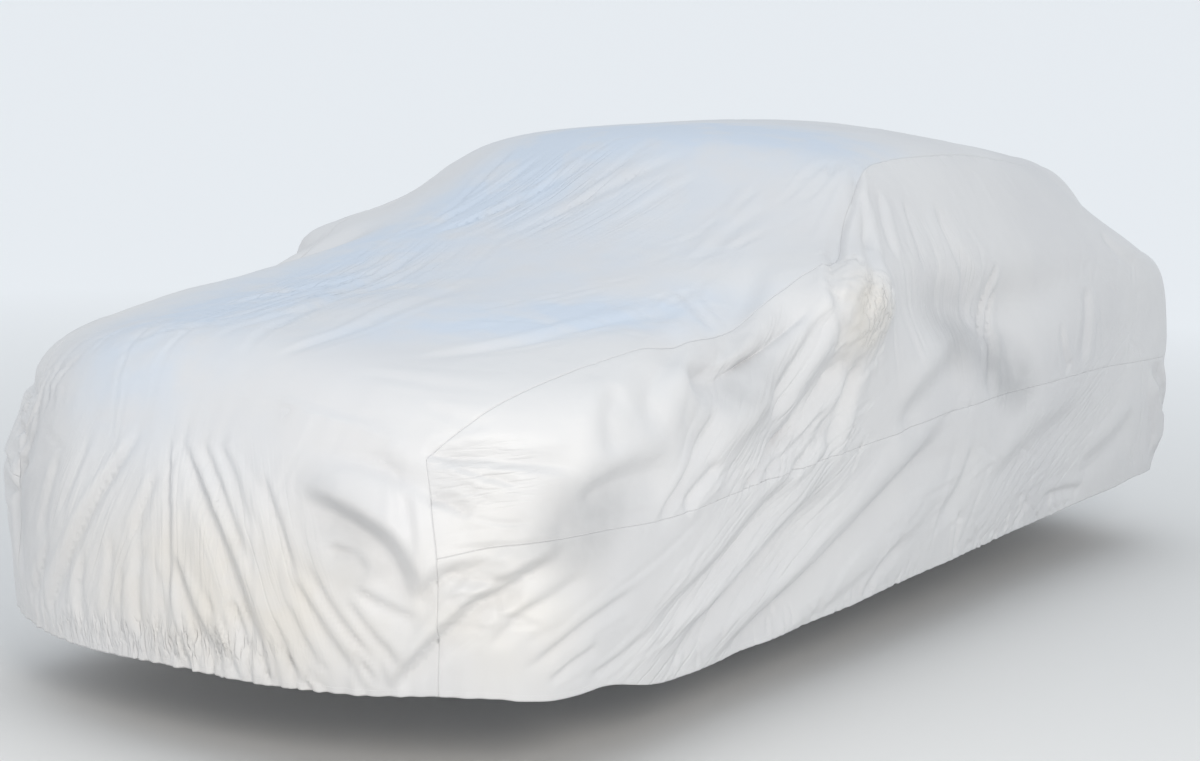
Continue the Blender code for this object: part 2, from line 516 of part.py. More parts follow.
def strip_aims():
    """Aims of the centre strip, a list of rows from the nose hem to the tail hem."""
    left, up, down = strip_edge(1)
    right, _, _ = strip_edge(-1)
    rows = []
    for i in range(len(left)):
        on_top = up <= i < len(left) - down
        fine = i < up or left[i, 1] < FINE_END_Y
        across = np.linspace(0.0, 1.0, (NOSE_COLUMNS if fine else STRIP_COLUMNS) + 1)[:, None]
        row = right[i] + (left[i] - right[i]) * across
        arch = 1.0 - (2.0 * across[:, 0] - 1.0) ** 2
        row[:, 1] += arch * STRIP_BOW * np.sign(left[i, 1]) * (0.0 if on_top else 1.0)
        row[:, 2] += arch * STRIP_CROWN * (1.0 if on_top else 0.0)
        rows.append(row)
    return rows


def part_seams(rows, seam_rows, seam_columns):
    """Draws a panel's seam edges back by half the gap, towards the panel's inside."""
    parted = [row.copy() for row in rows]
    for end in seam_columns:
        inner = 1 if end == 0 else -2
        for row, source in zip(parted, rows):
            inward = source[inner] - source[end]
            row[end] += inward / np.linalg.norm(inward) * SEAM_GAP
    for end in seam_rows:
        inner = 1 if end == 0 else -2
        inward = rows[inner] - rows[end]
        parted[end] += inward / np.linalg.norm(inward, axis=1, keepdims=True) * SEAM_GAP
    return parted


def strip_triangles(low, high):
    """Triangles between two rows of vertices, given as index lists; a row may hold twice the other."""
    triangles = []
    if len(low) == len(high):
        for i in range(len(low) - 1):
            triangles.append((low[i], low[i + 1], high[i + 1]))
            triangles.append((low[i], high[i + 1], high[i]))
        return triangles
    for i in range(len(high) - 1):
        a, middle, b = low[2 * i], low[2 * i + 1], low[2 * i + 2]
        triangles.append((a, middle, high[i]))
        triangles.append((middle, high[i + 1], high[i]))
        triangles.append((middle, b, high[i + 1]))
    return triangles


def layer_edges(layer):
    """The four edges of a layer of vertices, in order round it."""
    return layer[0], [row[-1] for row in layer], layer[-1][::-1], [row[0] for row in layer][::-1]


def cloth_material(name, colour):
    """Silver coated cloth."""
    material = bpy.data.materials.new(name)
    material.use_nodes = True
    shader = material.node_tree.nodes["Principled BSDF"]
    shader.inputs["Base Color"].default_value = (*colour, 1.0)
    shader.inputs["Roughness"].default_value = CLOTH_ROUGHNESS
    shader.inputs["Metallic"].default_value = 0.0
    return material


def add_panel(name, rows, seam_rows, seam_columns, hem_rows, material, facing):
    """Builds one panel as a closed sheet: an outer layer, an inner layer and the rim between."""
    counts = [len(row) for row in rows]
    draped, normals = drape(onto_form(np.vstack(rows)))
    splits = np.cumsum(counts)[:-1]
    draped = np.split(draped, splits)
    normals = np.split(normals, splits)
    thick = [np.full(count, CLOTH_THICKNESS) for count in counts]
    for row in hem_rows:
        thick[row][:] = HEM_THICKNESS
    outer = part_seams(draped, seam_rows, seam_columns)
    origin = np.array((0.0, CROWN_Y, CROWN_HEIGHT - CLOTH_THICKNESS))

    mesh = bmesh.new()
    layers = []
    for inset in (0.0, 1.0):
        layer = []
        for row, normal, depth in zip(outer, normals, thick):
            points = row - normal * depth[:, None] * inset - origin
            layer.append([mesh.verts.new(point) for point in points])
        layers.append(layer)
    for inset, layer in enumerate(layers):
        for low, high in zip(layer[:-1], layer[1:]):
            flip = facing if inset == 0 else not facing
            if len(high) > len(low):
                triangles = strip_triangles(high, low)
                flip = not flip
            else:
                triangles = strip_triangles(low, high)
            for triangle in triangles:
                mesh.faces.new(triangle[::-1] if flip else triangle)
    for out_edge, in_edge in zip(layer_edges(layers[0]), layer_edges(layers[1])):
        for i in range(len(out_edge) - 1):
            a, b, c, d = out_edge[i], in_edge[i], in_edge[i + 1], out_edge[i + 1]
            for triangle in ((a, b, c), (a, c, d)):
                mesh.faces.new(triangle[::-1] if facing else triangle)
    data = bpy.data.meshes.new(name)
    mesh.to_mesh(data)
    mesh.free()
    data.shade_smooth()
    panel = bpy.data.objects.new(name, data)
    data.materials.append(material)
    bpy.context.collection.objects.link(panel)
    return panel


def build_cover():
    """Makes the five panels."""
    silver = cloth_material("silver_cloth", SILVER)
    shade = cloth_material("silver_cloth_sides", SILVER_SHADE)
    add_panel("centre_strip", strip_aims(), (), (0, -1), (0, -1), silver, False)
    for side, word in ((1, "left"), (-1, "right")):
        upper, skirt = side_aims(side)
        add_panel("upper_side_" + word, list(upper), (0, -1), (0, -1), (), shade, side > 0)
        add_panel("skirt_" + word, list(skirt), (0,), (0, -1), (-1,), shade, side > 0)


for old in list(bpy.data.objects):
    bpy.data.objects.remove(old)
build_cover()
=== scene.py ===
# %% [markdown]
# # A fitted silver cover
#
# The real object is five panels of thin silver coated cloth, sewn into one hollow shape that is
# open below. It is pulled over a long load, so the cloth hangs from the crown, bridges the hollows
# and gathers in folds where it is drawn tight. This lesson dresses a finished construction model
# with the fine cloth: the same panels, on the same form, with many more folds, seams and stitches.

# %% Load the fixed frame
import math

import bpy
from mathutils import Matrix, Vector
import numpy as np


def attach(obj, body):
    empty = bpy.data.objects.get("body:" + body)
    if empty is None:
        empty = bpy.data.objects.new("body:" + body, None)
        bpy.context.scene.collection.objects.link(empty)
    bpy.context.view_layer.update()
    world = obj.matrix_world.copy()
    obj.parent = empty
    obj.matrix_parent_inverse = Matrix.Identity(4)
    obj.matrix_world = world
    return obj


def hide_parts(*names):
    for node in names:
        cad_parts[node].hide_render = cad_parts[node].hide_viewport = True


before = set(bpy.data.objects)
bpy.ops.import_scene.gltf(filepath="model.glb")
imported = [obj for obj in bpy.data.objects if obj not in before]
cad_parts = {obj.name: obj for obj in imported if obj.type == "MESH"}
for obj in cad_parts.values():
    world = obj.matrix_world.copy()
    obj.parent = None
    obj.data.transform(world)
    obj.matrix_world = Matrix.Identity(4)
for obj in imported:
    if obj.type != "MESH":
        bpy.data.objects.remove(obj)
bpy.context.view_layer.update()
print("panels in the frame:", sorted(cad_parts))

# %% [markdown]
# ## The camera first
#
# The picture shows the cover from its front left quarter, a little from above. The camera was found
# from the outline of the cover: how far it stands off, how high, how it is turned, and how long its
# lens is. Making it first keeps every later look through it the same.

# %% Camera and places
CROWN_Y = 0.27                       # the crown's top point, from the middle of the length
CROWN_HEIGHT = 1.452                 # above the ground
CLOTH = 0.0022                       # sheet thickness
HEM = 0.0044                         # the turned hem is two layers
ORIGIN = np.array((0.0, CROWN_Y, CROWN_HEIGHT - CLOTH))
GROUND = -ORIGIN[2]

CAMERA_PLACE = np.array((3.6288, -6.0303, 1.6478)) - ORIGIN
CAMERA_YAW = 0.5848
CAMERA_PITCH = -0.1401
CAMERA_ROLL = 0.0369
LENS = 68.1
SENSOR_WIDTH = 36.0
VIEW_END = 200.0


def add_object(name, data):
    """An object with the given data, in the scene."""
    made = bpy.data.objects.new(name, data)
    bpy.context.collection.objects.link(made)
    return made


def add_camera():
    """The camera at the picture's angle, as yaw, then pitch, then roll about its own axis."""
    data = bpy.data.cameras.new("camera")
    data.sensor_width = SENSOR_WIDTH
    data.lens = LENS
    data.clip_end = VIEW_END
    camera = add_object("camera", data)
    camera.location = CAMERA_PLACE
    turn = Matrix.Rotation(CAMERA_YAW, 3, "Z") @ Matrix.Rotation(math.pi / 2 + CAMERA_PITCH, 3, "X")
    camera.rotation_euler = (turn @ Matrix.Rotation(CAMERA_ROLL, 3, "Z")).to_euler()
    bpy.context.scene.camera = camera


add_camera()
print("camera stands", round(float(np.linalg.norm(CAMERA_PLACE)), 2), "m from the crown")

# %% [markdown]
# ## The form that the cloth is drawn over
#
# Cloth over a load has no primitive shape, but it does have a rule: every part of the load pushes
# it out, and between two parts it bridges. So the form is a function of position that is negative
# inside and positive outside. Each part is a simple function, and a rounded maximum or minimum
# joins two parts as cloth does. Heights here are above the ground, and the finished meshes move to
# the frame's origin, under the crown, at the very end.


# %% Rounded joins and curves
def smooth_max(a, b, blend):
    """Larger of two fields, rounded off where they cross."""
    near = np.maximum(blend - np.abs(a - b), 0.0) / blend
    return np.maximum(a, b) + near ** 3 * blend / 6.0


def smooth_min(a, b, blend):
    """Smaller of two fields, rounded off where they cross."""
    return -smooth_max(-a, -b, blend)


PAST_KNOTS = 0.5                     # a height runs on this share of a span past its last knots


def hermite(value, knots):
    """Smooth height through (place, height) knots."""
    place, height = np.array(knots).T
    slope = np.gradient(height, place)
    i = np.clip(np.searchsorted(place, value) - 1, 0, len(place) - 2)
    span = place[i + 1] - place[i]
    t = np.clip((value - place[i]) / span, -PAST_KNOTS, 1.0 + PAST_KNOTS)
    start = (1 + 2 * t) * (1 - t) ** 2 * height[i] + t * (1 - t) ** 2 * span * slope[i]
    end = t * t * (3 - 2 * t) * height[i + 1] + t * t * (t - 1) * span * slope[i + 1]
    return start + end


def curve_at(points, u):
    """Points of a smooth curve at parameter u, which is 0 at its first point and 1 more at each next."""
    points = np.array(points, float)
    padded = np.vstack([2 * points[0] - points[1], points, 2 * points[-1] - points[-2]])
    i = np.clip(np.floor(u).astype(int), 0, len(points) - 2)
    t = (np.asarray(u) - i)[:, None]
    before, start, end, after = padded[i], padded[i + 1], padded[i + 2], padded[i + 3]
    return 0.5 * (
        2 * start + (end - before) * t
        + (2 * before - 5 * start + 4 * end - after) * t ** 2
        + (3 * start - before - 3 * end + after) * t ** 3)


corner_gap = float(smooth_max(0.0, 0.0, 0.2))
print("fields joined over 0.2 m stand", round(corner_gap, 3), "m off their corner")

# %% Lower body: sides, top, nose and tail
HALF_WIDTH = 0.893
WIDEST_HEIGHT = 0.66
TUCK_IN = 0.150                      # how fast the sides draw in above and below that height
PLAN_REACH = 0.90                    # half width at which the nose and tail bows are given
NOSE_Y, NOSE_HEIGHT, NOSE_BOW, NOSE_BOW_POWER, NOSE_LEAN = -2.317, 0.52, 0.322, 2.6, 0.107
TAIL_Y, TAIL_HEIGHT, TAIL_BOW, TAIL_BOW_POWER, TAIL_LEAN = 2.105, 0.65, 0.278, 3.0, 0.080
UNDER_NOSE = 0.5
LEAN_REACH = 0.40
BODY_TOP = (                         # places along the length and the top's height there
    (-2.25, 0.973), (-1.55, 1.030), (-0.80, 1.066), (0.40, 0.964), (1.60, 1.120), (2.15, 1.025))
CAMBER, NOSE_CAMBER, CAMBER_REACH = 0.05, 0.17, 0.85
DROOP_START_Y, DROOP_LENGTH, DROOP_LIMIT, DROOP_POWER = -1.30, 0.95, 1.2, 1.5
BODY_BLEND, ENDS_BLEND = 0.20, 0.05


def nose_field(x, y, z):
    """Positive in front of the bowed nose."""
    bow = NOSE_BOW * (x / PLAN_REACH) ** NOSE_BOW_POWER
    lean = NOSE_LEAN * ((z - NOSE_HEIGHT) / LEAN_REACH) ** 2
    return NOSE_Y + bow + lean * np.where(z > NOSE_HEIGHT, 1.0, UNDER_NOSE) - y


def tail_field(x, y, z):
    """Positive behind the bowed tail."""
    bow = TAIL_BOW * (x / PLAN_REACH) ** TAIL_BOW_POWER
    return y - (TAIL_Y - bow - TAIL_LEAN * ((z - TAIL_HEIGHT) / LEAN_REACH) ** 2)


def body_field(x, y, z):
    """Positive outside the long lower body."""
    side = x - (HALF_WIDTH - TUCK_IN * (z - WIDEST_HEIGHT) ** 2)
    droop = np.clip((DROOP_START_Y - y) / DROOP_LENGTH, 0.0, DROOP_LIMIT) ** DROOP_POWER
    camber = CAMBER + (NOSE_CAMBER - CAMBER) * droop
    top = z - hermite(y, BODY_TOP) + camber * (x / CAMBER_REACH) ** 2
    ends = smooth_max(nose_field(x, y, z), tail_field(x, y, z), ENDS_BLEND)
    return smooth_max(smooth_max(side, top, BODY_BLEND), ends, BODY_BLEND)


print("length of the form:", round(TAIL_Y - NOSE_Y, 2), "m")

# %% [markdown]
# Above the lower body stands the crown, with a rake before and behind it. An ear sticks out on each
# side at the foot of the fore rake, and there the cloth is stretched like a tent: from the crown's
# corner out to the ear's tip, and down from it. Two planes through those points make the tent.

# %% Crown and its rakes
CROWN_SAG, CROWN_CAMBER, CROWN_REACH = 0.054, 0.05, 0.60
CROWN_HALF_WIDTH, CROWN_EDGE_HEIGHT, FLANK_SLOPE = 0.646, 1.40, 0.619
FORE_RAKE_Y, FORE_RAKE_HEIGHT, FORE_RAKE_SLOPE, FORE_RAKE_CAMBER = -0.29, 1.43, 0.557, 0.056
AFT_RAKE_Y, AFT_RAKE_HEIGHT, AFT_RAKE_SLOPE, AFT_RAKE_CAMBER = 1.142, 1.40, 0.489, 0.05
CROWN_EDGE_BLEND, CROWN_END_BLEND, RAKES_BLEND = 0.14, 0.19, 0.1


def crown_fields(x, y, z):
    """The crown alone, with its flanks and its two rakes, and its top alone."""
    flank = x - (CROWN_HALF_WIDTH + FLANK_SLOPE * (CROWN_EDGE_HEIGHT - z))
    flank /= np.hypot(1.0, FLANK_SLOPE)
    across = (x / CROWN_REACH) ** 2
    top = z - (CROWN_HEIGHT - CROWN_SAG * (y - CROWN_Y) ** 2 - CROWN_CAMBER * across)
    fore = z - FORE_RAKE_HEIGHT - FORE_RAKE_SLOPE * (y - FORE_RAKE_Y) + FORE_RAKE_CAMBER * across
    aft = z - AFT_RAKE_HEIGHT + AFT_RAKE_SLOPE * (y - AFT_RAKE_Y) + AFT_RAKE_CAMBER * across
    fore, aft = fore / np.hypot(1.0, FORE_RAKE_SLOPE), aft / np.hypot(1.0, AFT_RAKE_SLOPE)
    ends = smooth_max(fore, aft, RAKES_BLEND)
    return smooth_max(smooth_max(flank, top, CROWN_EDGE_BLEND), ends, CROWN_END_BLEND), top


fore_angle, aft_angle = (math.degrees(math.atan(slope)) for slope in (FORE_RAKE_SLOPE, AFT_RAKE_SLOPE))
print("the fore rake leans", round(fore_angle), "degrees and the aft rake", round(aft_angle))

# %% Tents over the ears
EAR = np.array((0.895, -0.669, 1.031))
TENT_ROUND, TENT_RIDGE_BLEND = 0.35, 0.05
TENT_CORNER = (CROWN_HALF_WIDTH + 0.005, FORE_RAKE_Y + 0.04, FORE_RAKE_HEIGHT - 0.03)
TENT_TIP = tuple(EAR + (-0.005, 0.01, 0.045))
TENT_FOOT = (0.35, FORE_RAKE_Y - 0.62, FORE_RAKE_HEIGHT - 0.62 * FORE_RAKE_SLOPE - 0.02)
TENT_BACK = (0.905, 0.50, 0.92)


def plane_field(points, a, b, c, outward):
    """Distance outside the plane through three points."""
    normal = np.cross(b - a, c - a)
    normal /= np.linalg.norm(normal)
    return (points - a) @ (normal * np.sign(normal @ outward))


def tent_field(x, y, z):
    """Positive outside the tent of cloth that leads from the crown's corner over the ear."""
    corner, tip, foot, back = (
        np.array((np.hypot(point[0], TENT_ROUND), point[1], point[2]))
        for point in (TENT_CORNER, TENT_TIP, TENT_FOOT, TENT_BACK))
    points = np.stack([np.hypot(x, TENT_ROUND), y, z], -1)
    fore_face = plane_field(points, corner, tip, foot, np.array((0.0, -1.0, 1.0)))
    outer_face = plane_field(points, corner, tip, back, np.array((1.0, 0.0, 0.0)))
    return smooth_max(fore_face, outer_face, TENT_RIDGE_BLEND)


print("a tent's tip is", round(TENT_TIP[0] - TENT_CORNER[0], 2), "m out from the crown's corner")

# %% Crown and tents together
WAIST_HALF_WIDTH, WAIST_CUT_HEIGHT, WAIST_CUT_SLOPE, CROWN_FLOOR = 0.76, 0.85, 0.45, 0.80
TENT_TOP_BLEND, TENT_BLEND, CROWN_FLOOR_BLEND, WAIST_CUT_BLEND = 0.08, 0.12, 0.15, 0.12
ENDS_INSET, ENDS_INSET_BLEND = 0.25, 0.20


def crown_field(x, y, z):
    """Positive outside the crown, its two rakes and its tents, which end above the waist."""
    crown, top = crown_fields(x, y, z)
    crown = smooth_min(crown, smooth_max(tent_field(x, y, z), top, TENT_TOP_BLEND), TENT_BLEND)
    crown = smooth_max(crown, CROWN_FLOOR - z, CROWN_FLOOR_BLEND)
    waist_cut = x - (WAIST_HALF_WIDTH + WAIST_CUT_SLOPE * (z - WAIST_CUT_HEIGHT))
    crown = smooth_max(crown, waist_cut, WAIST_CUT_BLEND)
    inside_ends = smooth_max(nose_field(x, y, z), tail_field(x, y, z), ENDS_BLEND) + ENDS_INSET
    return smooth_max(crown, inside_ends, ENDS_INSET_BLEND)


print("the crown's field at a tent's corner:", round(float(crown_field(*TENT_CORNER)), 3))

# %% The whole form
JOIN_BLEND, JOIN_BLEND_FORE, JOIN_FORE_Y, JOIN_FORE_SPREAD = 0.182, 1.2, -0.95, 0.5
EAR_RADIUS, EAR_LENGTHEN, EAR_FLATTEN, EAR_BLEND = 0.045, 1.2, 0.9, 0.326


def form_field(points):
    """Negative inside the draped form and positive outside; the cloth lies where it is zero."""
    x, y, z = np.abs(points[..., 0]), points[..., 1], points[..., 2]
    bridge = 1.0 + JOIN_BLEND_FORE * np.exp(-((y - JOIN_FORE_Y) / JOIN_FORE_SPREAD) ** 2)
    form = smooth_min(body_field(x, y, z), crown_field(x, y, z), JOIN_BLEND * bridge)
    off = np.stack([x, y, z], -1) - EAR
    ear = np.linalg.norm(off / (1.0, EAR_LENGTHEN, EAR_FLATTEN), axis=-1)
    return smooth_min(form, ear - EAR_RADIUS, EAR_BLEND)


print("the form's field at the ear:", round(float(form_field(EAR)), 3))

# %% [markdown]
# ## Finding the surface
#
# A field only says inside or outside. To lay a grid on it, a ray is shot from an inner spine through
# every point of the grid, and the crossing is found by stepping out and then halving the last step.
# A metaball or a remeshed volume would give a surface too, but not one with rows along the seams.

# %% Surface points and normals
SPINE_X_SHARE, SPINE_FORE_Y, SPINE_AFT_Y, SPINE_Z = 0.35, -1.55, 1.45, 0.62
RAY_LENGTH, RAY_STEPS, HALVINGS = 1.8, 45, 14
NORMAL_STEP = 0.004


def form_normals(points):
    """Unit normals of the draped form."""
    slopes = []
    for axis in range(3):
        shift = np.zeros(3)
        shift[axis] = NORMAL_STEP
        slopes.append(form_field(points + shift) - form_field(points - shift))
    normals = np.stack(slopes, -1)
    return normals / np.linalg.norm(normals, axis=-1, keepdims=True)


def onto_form(aims):
    """Surface points of the form on the rays from its inner spine through the given aims."""
    start = np.stack([
        aims[..., 0] * SPINE_X_SHARE,
        np.clip(aims[..., 1], SPINE_FORE_Y, SPINE_AFT_Y),
        np.full(aims.shape[:-1], SPINE_Z)], -1)
    ray = aims - start
    ray /= np.linalg.norm(ray, axis=-1, keepdims=True)
    inner = np.zeros(aims.shape[:-1])
    inside = np.ones(aims.shape[:-1], bool)
    for reach in np.linspace(0.0, RAY_LENGTH, RAY_STEPS + 1)[1:]:
        inside &= form_field(start + ray * reach) < 0.0
        inner = np.where(inside, reach, inner)
    outer = inner + RAY_LENGTH / RAY_STEPS
    for _ in range(HALVINGS):
        middle = (inner + outer) / 2.0
        is_in = form_field(start + ray * middle[..., None]) < 0.0
        inner = np.where(is_in, middle, inner)
        outer = np.where(is_in, outer, middle)
    return start + ray * ((inner + outer) / 2.0)[..., None]


widest = onto_form(np.array(((1.0, 0.0, WIDEST_HEIGHT), EAR + (0.1, 0.0, 0.0))))
print("half width at the waist and at the ear:", widest[:, 0].round(3))

# %% [markdown]
# ## The panels' cutting lines
#
# Two seams and a hem run round each side: the shoulder seam under the crown's edge, the waist seam
# at the widest height, and the hem. A table gives where they pass at each station from the nose
# corner to the tail corner, and smooth curves run through the stations. The right side is the left
# one mirrored, except that its hem hangs lower at the nose.

# %% Stations along the side
STATIONS = (
    # name, shoulder, waist, hem
    ("nose corner", (0.615, -2.155, 0.77), (0.668, -2.17, 0.561), (0.655, -2.14, 0.246)),
    ("nose turn", (0.665, -2.03, 0.85), (0.79, -2.085, 0.59), (0.78, -2.04, 0.243)),
    ("foredeck 1", (0.7, -1.86, 0.905), (0.9, -1.86, 0.602), (0.87, -1.82, 0.227)),
    ("foredeck 2", (0.72, -1.55, 0.955), (0.9, -1.56, 0.592), (0.87, -1.53, 0.175)),
    ("foredeck 3", (0.745, -1.15, 1.005), (0.9, -1.12, 0.62), (0.87, -1.07, 0.169)),
    ("ear front", (0.775, -0.88, 1.07), (0.9, -0.8, 0.635), (0.87, -0.78, 0.178)),
    ("ear", (0.8, -0.66, 1.14), (0.9, -0.62, 0.642), (0.87, -0.585, 0.184)),
    ("tent", (0.72, -0.42, 1.28), (0.9, -0.38, 0.655), (0.87, -0.36, 0.195)),
    ("crown front", (0.635, -0.16, 1.35), (0.9, -0.1, 0.67), (0.87, -0.1, 0.206)),
    ("crown 1", (0.615, 0.3, 1.357), (0.9, 0.3, 0.685), (0.87, 0.3, 0.218)),
    ("crown 2", (0.615, 0.75, 1.355), (0.9, 0.75, 0.696), (0.87, 0.71, 0.226)),
    ("crown rear", (0.62, 1.08, 1.32), (0.9, 1.1, 0.699), (0.87, 1.1, 0.243)),
    ("aft rake", (0.645, 1.38, 1.215), (0.9, 1.36, 0.694), (0.87, 1.35, 0.256)),
    ("deck front", (0.675, 1.62, 1.12), (0.895, 1.6, 0.686), (0.87, 1.56, 0.274)),
    ("deck", (0.67, 1.82, 1.03), (0.86, 1.8, 0.684), (0.83, 1.75, 0.285)),
    ("tail corner", (0.615, 1.955, 0.9), (0.66, 1.99, 0.69), (0.62, 1.93, 0.3)),
)
SHOULDER, WAIST, HEM_LINE = 1, 2, 3
LAST_STATION = len(STATIONS) - 1
RIGHT_HEM_DROP, RIGHT_DROP_LENGTH = 0.040, 1.1


def line_at(column, side, u):
    """Aim points along a seam or the hem of one side, at station parameter u."""
    corners = np.array([station[column] for station in STATIONS])
    if column == HEM_LINE and side < 0:
        drop = np.clip(1.0 - (corners[:, 1] - corners[0, 1]) / RIGHT_DROP_LENGTH, 0.0, 1.0)
        corners[:, 2] -= RIGHT_HEM_DROP * drop
    corners[:, 0] *= side
    return curve_at(corners, u)


def run_length(points):
    """Distance along a line of points, from its first to each."""
    steps = np.linalg.norm(np.diff(points, axis=0), axis=-1)
    return np.concatenate([np.zeros((1,) + steps.shape[1:]), np.cumsum(steps, axis=0)])


waist_length = run_length(line_at(WAIST, 1, np.linspace(0.0, LAST_STATION, 200)))[-1]
print("length of a waist seam:", round(float(waist_length), 2), "m")

# %% [markdown]
# ## Even grids with close rows at seams and hems
#
# A grid of quads suits a sewn panel: its edges are the seams, and rows can stand closer where a
# stitch line or a hem needs them. Across the panel the rows keep the same real distance from a seam
# all along it, and the rest are spread evenly between.

# %% Grid spacing
SEAM_ROWS = (0.0, 0.0030, 0.0075)    # metres from a seam
HEM_ROWS = (0.0, 0.0040, 0.0110, 0.0180, 0.0215, 0.0260)   # metres from the hem's edge


def spread(first, last, length, middle):
    """Shares across a panel of the given lengths: close rows at both ends, even ones between."""
    length = np.atleast_1d(length)
    start = np.array(first)[:, None] / length
    end = 1.0 - np.array(last)[::-1, None] / length
    inner = np.linspace(0.0, 1.0, middle + 2)[1:-1, None]
    return np.vstack([start, start[-1] + (end[0] - start[-1]) * inner, end])


print("rows across a metre, five between:", spread(SEAM_ROWS, HEM_ROWS, 1.0, 5)[:, 0].round(3))

# %% Grids of the side panels
SIDE_MIDDLE_COLUMNS = 609            # every grid has an odd number of rows and of columns,
UPPER_MIDDLE_ROWS = 85               # so that the inner layer can use every second one
SKIRT_MIDDLE_ROWS = 58
FINE_STATIONS = 1500


def side_stations():
    """Station parameters in even steps along the waist seam, closer at both corner seams."""
    fine = np.linspace(0.0, LAST_STATION, FINE_STATIONS)
    length = run_length(line_at(WAIST, 1, fine))
    shares = spread(SEAM_ROWS, SEAM_ROWS, length[-1], SIDE_MIDDLE_COLUMNS)[:, 0]
    return np.interp(shares * length[-1], length, fine)


def side_grid(side, upper_line, lower_line, last, middle):
    """Aims of an upper panel or a skirt, in rows from the top down."""
    u = side_stations()
    upper, lower = line_at(upper_line, side, u), line_at(lower_line, side, u)
    shares = spread(SEAM_ROWS, last, np.linalg.norm(lower - upper, axis=1), middle)
    return upper + (lower - upper) * shares[..., None]


print("columns of a side panel:", len(side_stations()))

# %% Grid of the centre strip
STRIP_MIDDLE_COLUMNS = 183
STRIP_STEPS = (
    # up to this share of the strip's length, metres between its rows
    (0.13, 0.0098),
    (0.48, 0.0138),
    (0.75, 0.0220),
    (0.88, 0.0180),
    (1.00, 0.0135),
)
SKIRT_POINTS, UPPER_POINTS, TOP_POINTS = 40, 30, 901   # of the strip's edge, beside each panel
CLEAR_OF_HEM = 0.032                 # the even rows start this far from each hem
ROWS_AT_START, ROWS_AT_END = 4, 3    # even rows that the close ones at the hems take the place of
STRIP_BOW = 0.13                     # the strip's middle lies this far past its edges at nose and tail
STRIP_CROWN = 0.06                   # and this far above them on top


def strip_edges():
    """The strip's right and left edges, from the nose hem to the tail hem, and which part is which."""
    edges = []
    for side in (-1, 1):
        at_nose, at_tail = (
            [line_at(column, side, np.full(1, station))[0] for column in (HEM_LINE, WAIST, SHOULDER)]
            for station in (0, LAST_STATION))
        edges.append(np.vstack([
            np.linspace(at_nose[0], at_nose[1], SKIRT_POINTS + 1)[:-1],
            np.linspace(at_nose[1], at_nose[2], UPPER_POINTS + 1)[:-1],
            line_at(SHOULDER, side, np.linspace(0.0, LAST_STATION, TOP_POINTS)),
            np.linspace(at_tail[2], at_tail[1], UPPER_POINTS + 1)[1:],
            np.linspace(at_tail[1], at_tail[0], SKIRT_POINTS + 1)[1:]]))
    end = np.ones(SKIRT_POINTS + UPPER_POINTS)
    part = np.concatenate([-end, np.zeros(TOP_POINTS), end])
    return edges[0], edges[1], part


def strip_grid():
    """Aims of the centre strip, in rows from the nose hem to the tail hem."""
    right, left, part = strip_edges()
    length = run_length(left)
    share = length / length[-1]
    step = np.array([row[1] for row in STRIP_STEPS])
    per_metre = 1.0 / step[np.searchsorted([row[0] for row in STRIP_STEPS], share)]
    count = np.cumsum(np.diff(length) * (per_metre[1:] + per_metre[:-1]) / 2.0)
    count = np.concatenate([[0.0], count])
    at_hem = np.array(HEM_ROWS)
    inner = np.interp(np.arange(ROWS_AT_START, count[-1] - ROWS_AT_END), count, length)
    inner = inner[(inner > CLEAR_OF_HEM) & (inner < length[-1] - CLEAR_OF_HEM)]
    odd = len(inner) // 2 * 2 + 1
    inner = np.interp(np.linspace(0, 1, odd), np.linspace(0, 1, len(inner)), inner)
    places = np.concatenate([at_hem, inner, length[-1] - at_hem[::-1]])

    def along(line):
        return np.stack([np.interp(places, length, line[:, axis]) for axis in range(3)], -1)

    right, left = along(right), along(left)
    part = np.interp(places, length, part)
    width = np.linalg.norm(left - right, axis=1)
    across = spread(SEAM_ROWS, SEAM_ROWS, width, STRIP_MIDDLE_COLUMNS).T[..., None]
    aims = right[:, None] + (left - right)[:, None] * across
    arch = 1.0 - (2.0 * across[..., 0] - 1.0) ** 2
    on_end = np.abs(part)[:, None]
    aims[..., 1] += arch * STRIP_BOW * np.sign(part)[:, None] * on_end
    aims[..., 2] += arch * STRIP_CROWN * (1.0 - on_end)
    return aims


print("rows and columns of the strip:", strip_grid().shape[:2])
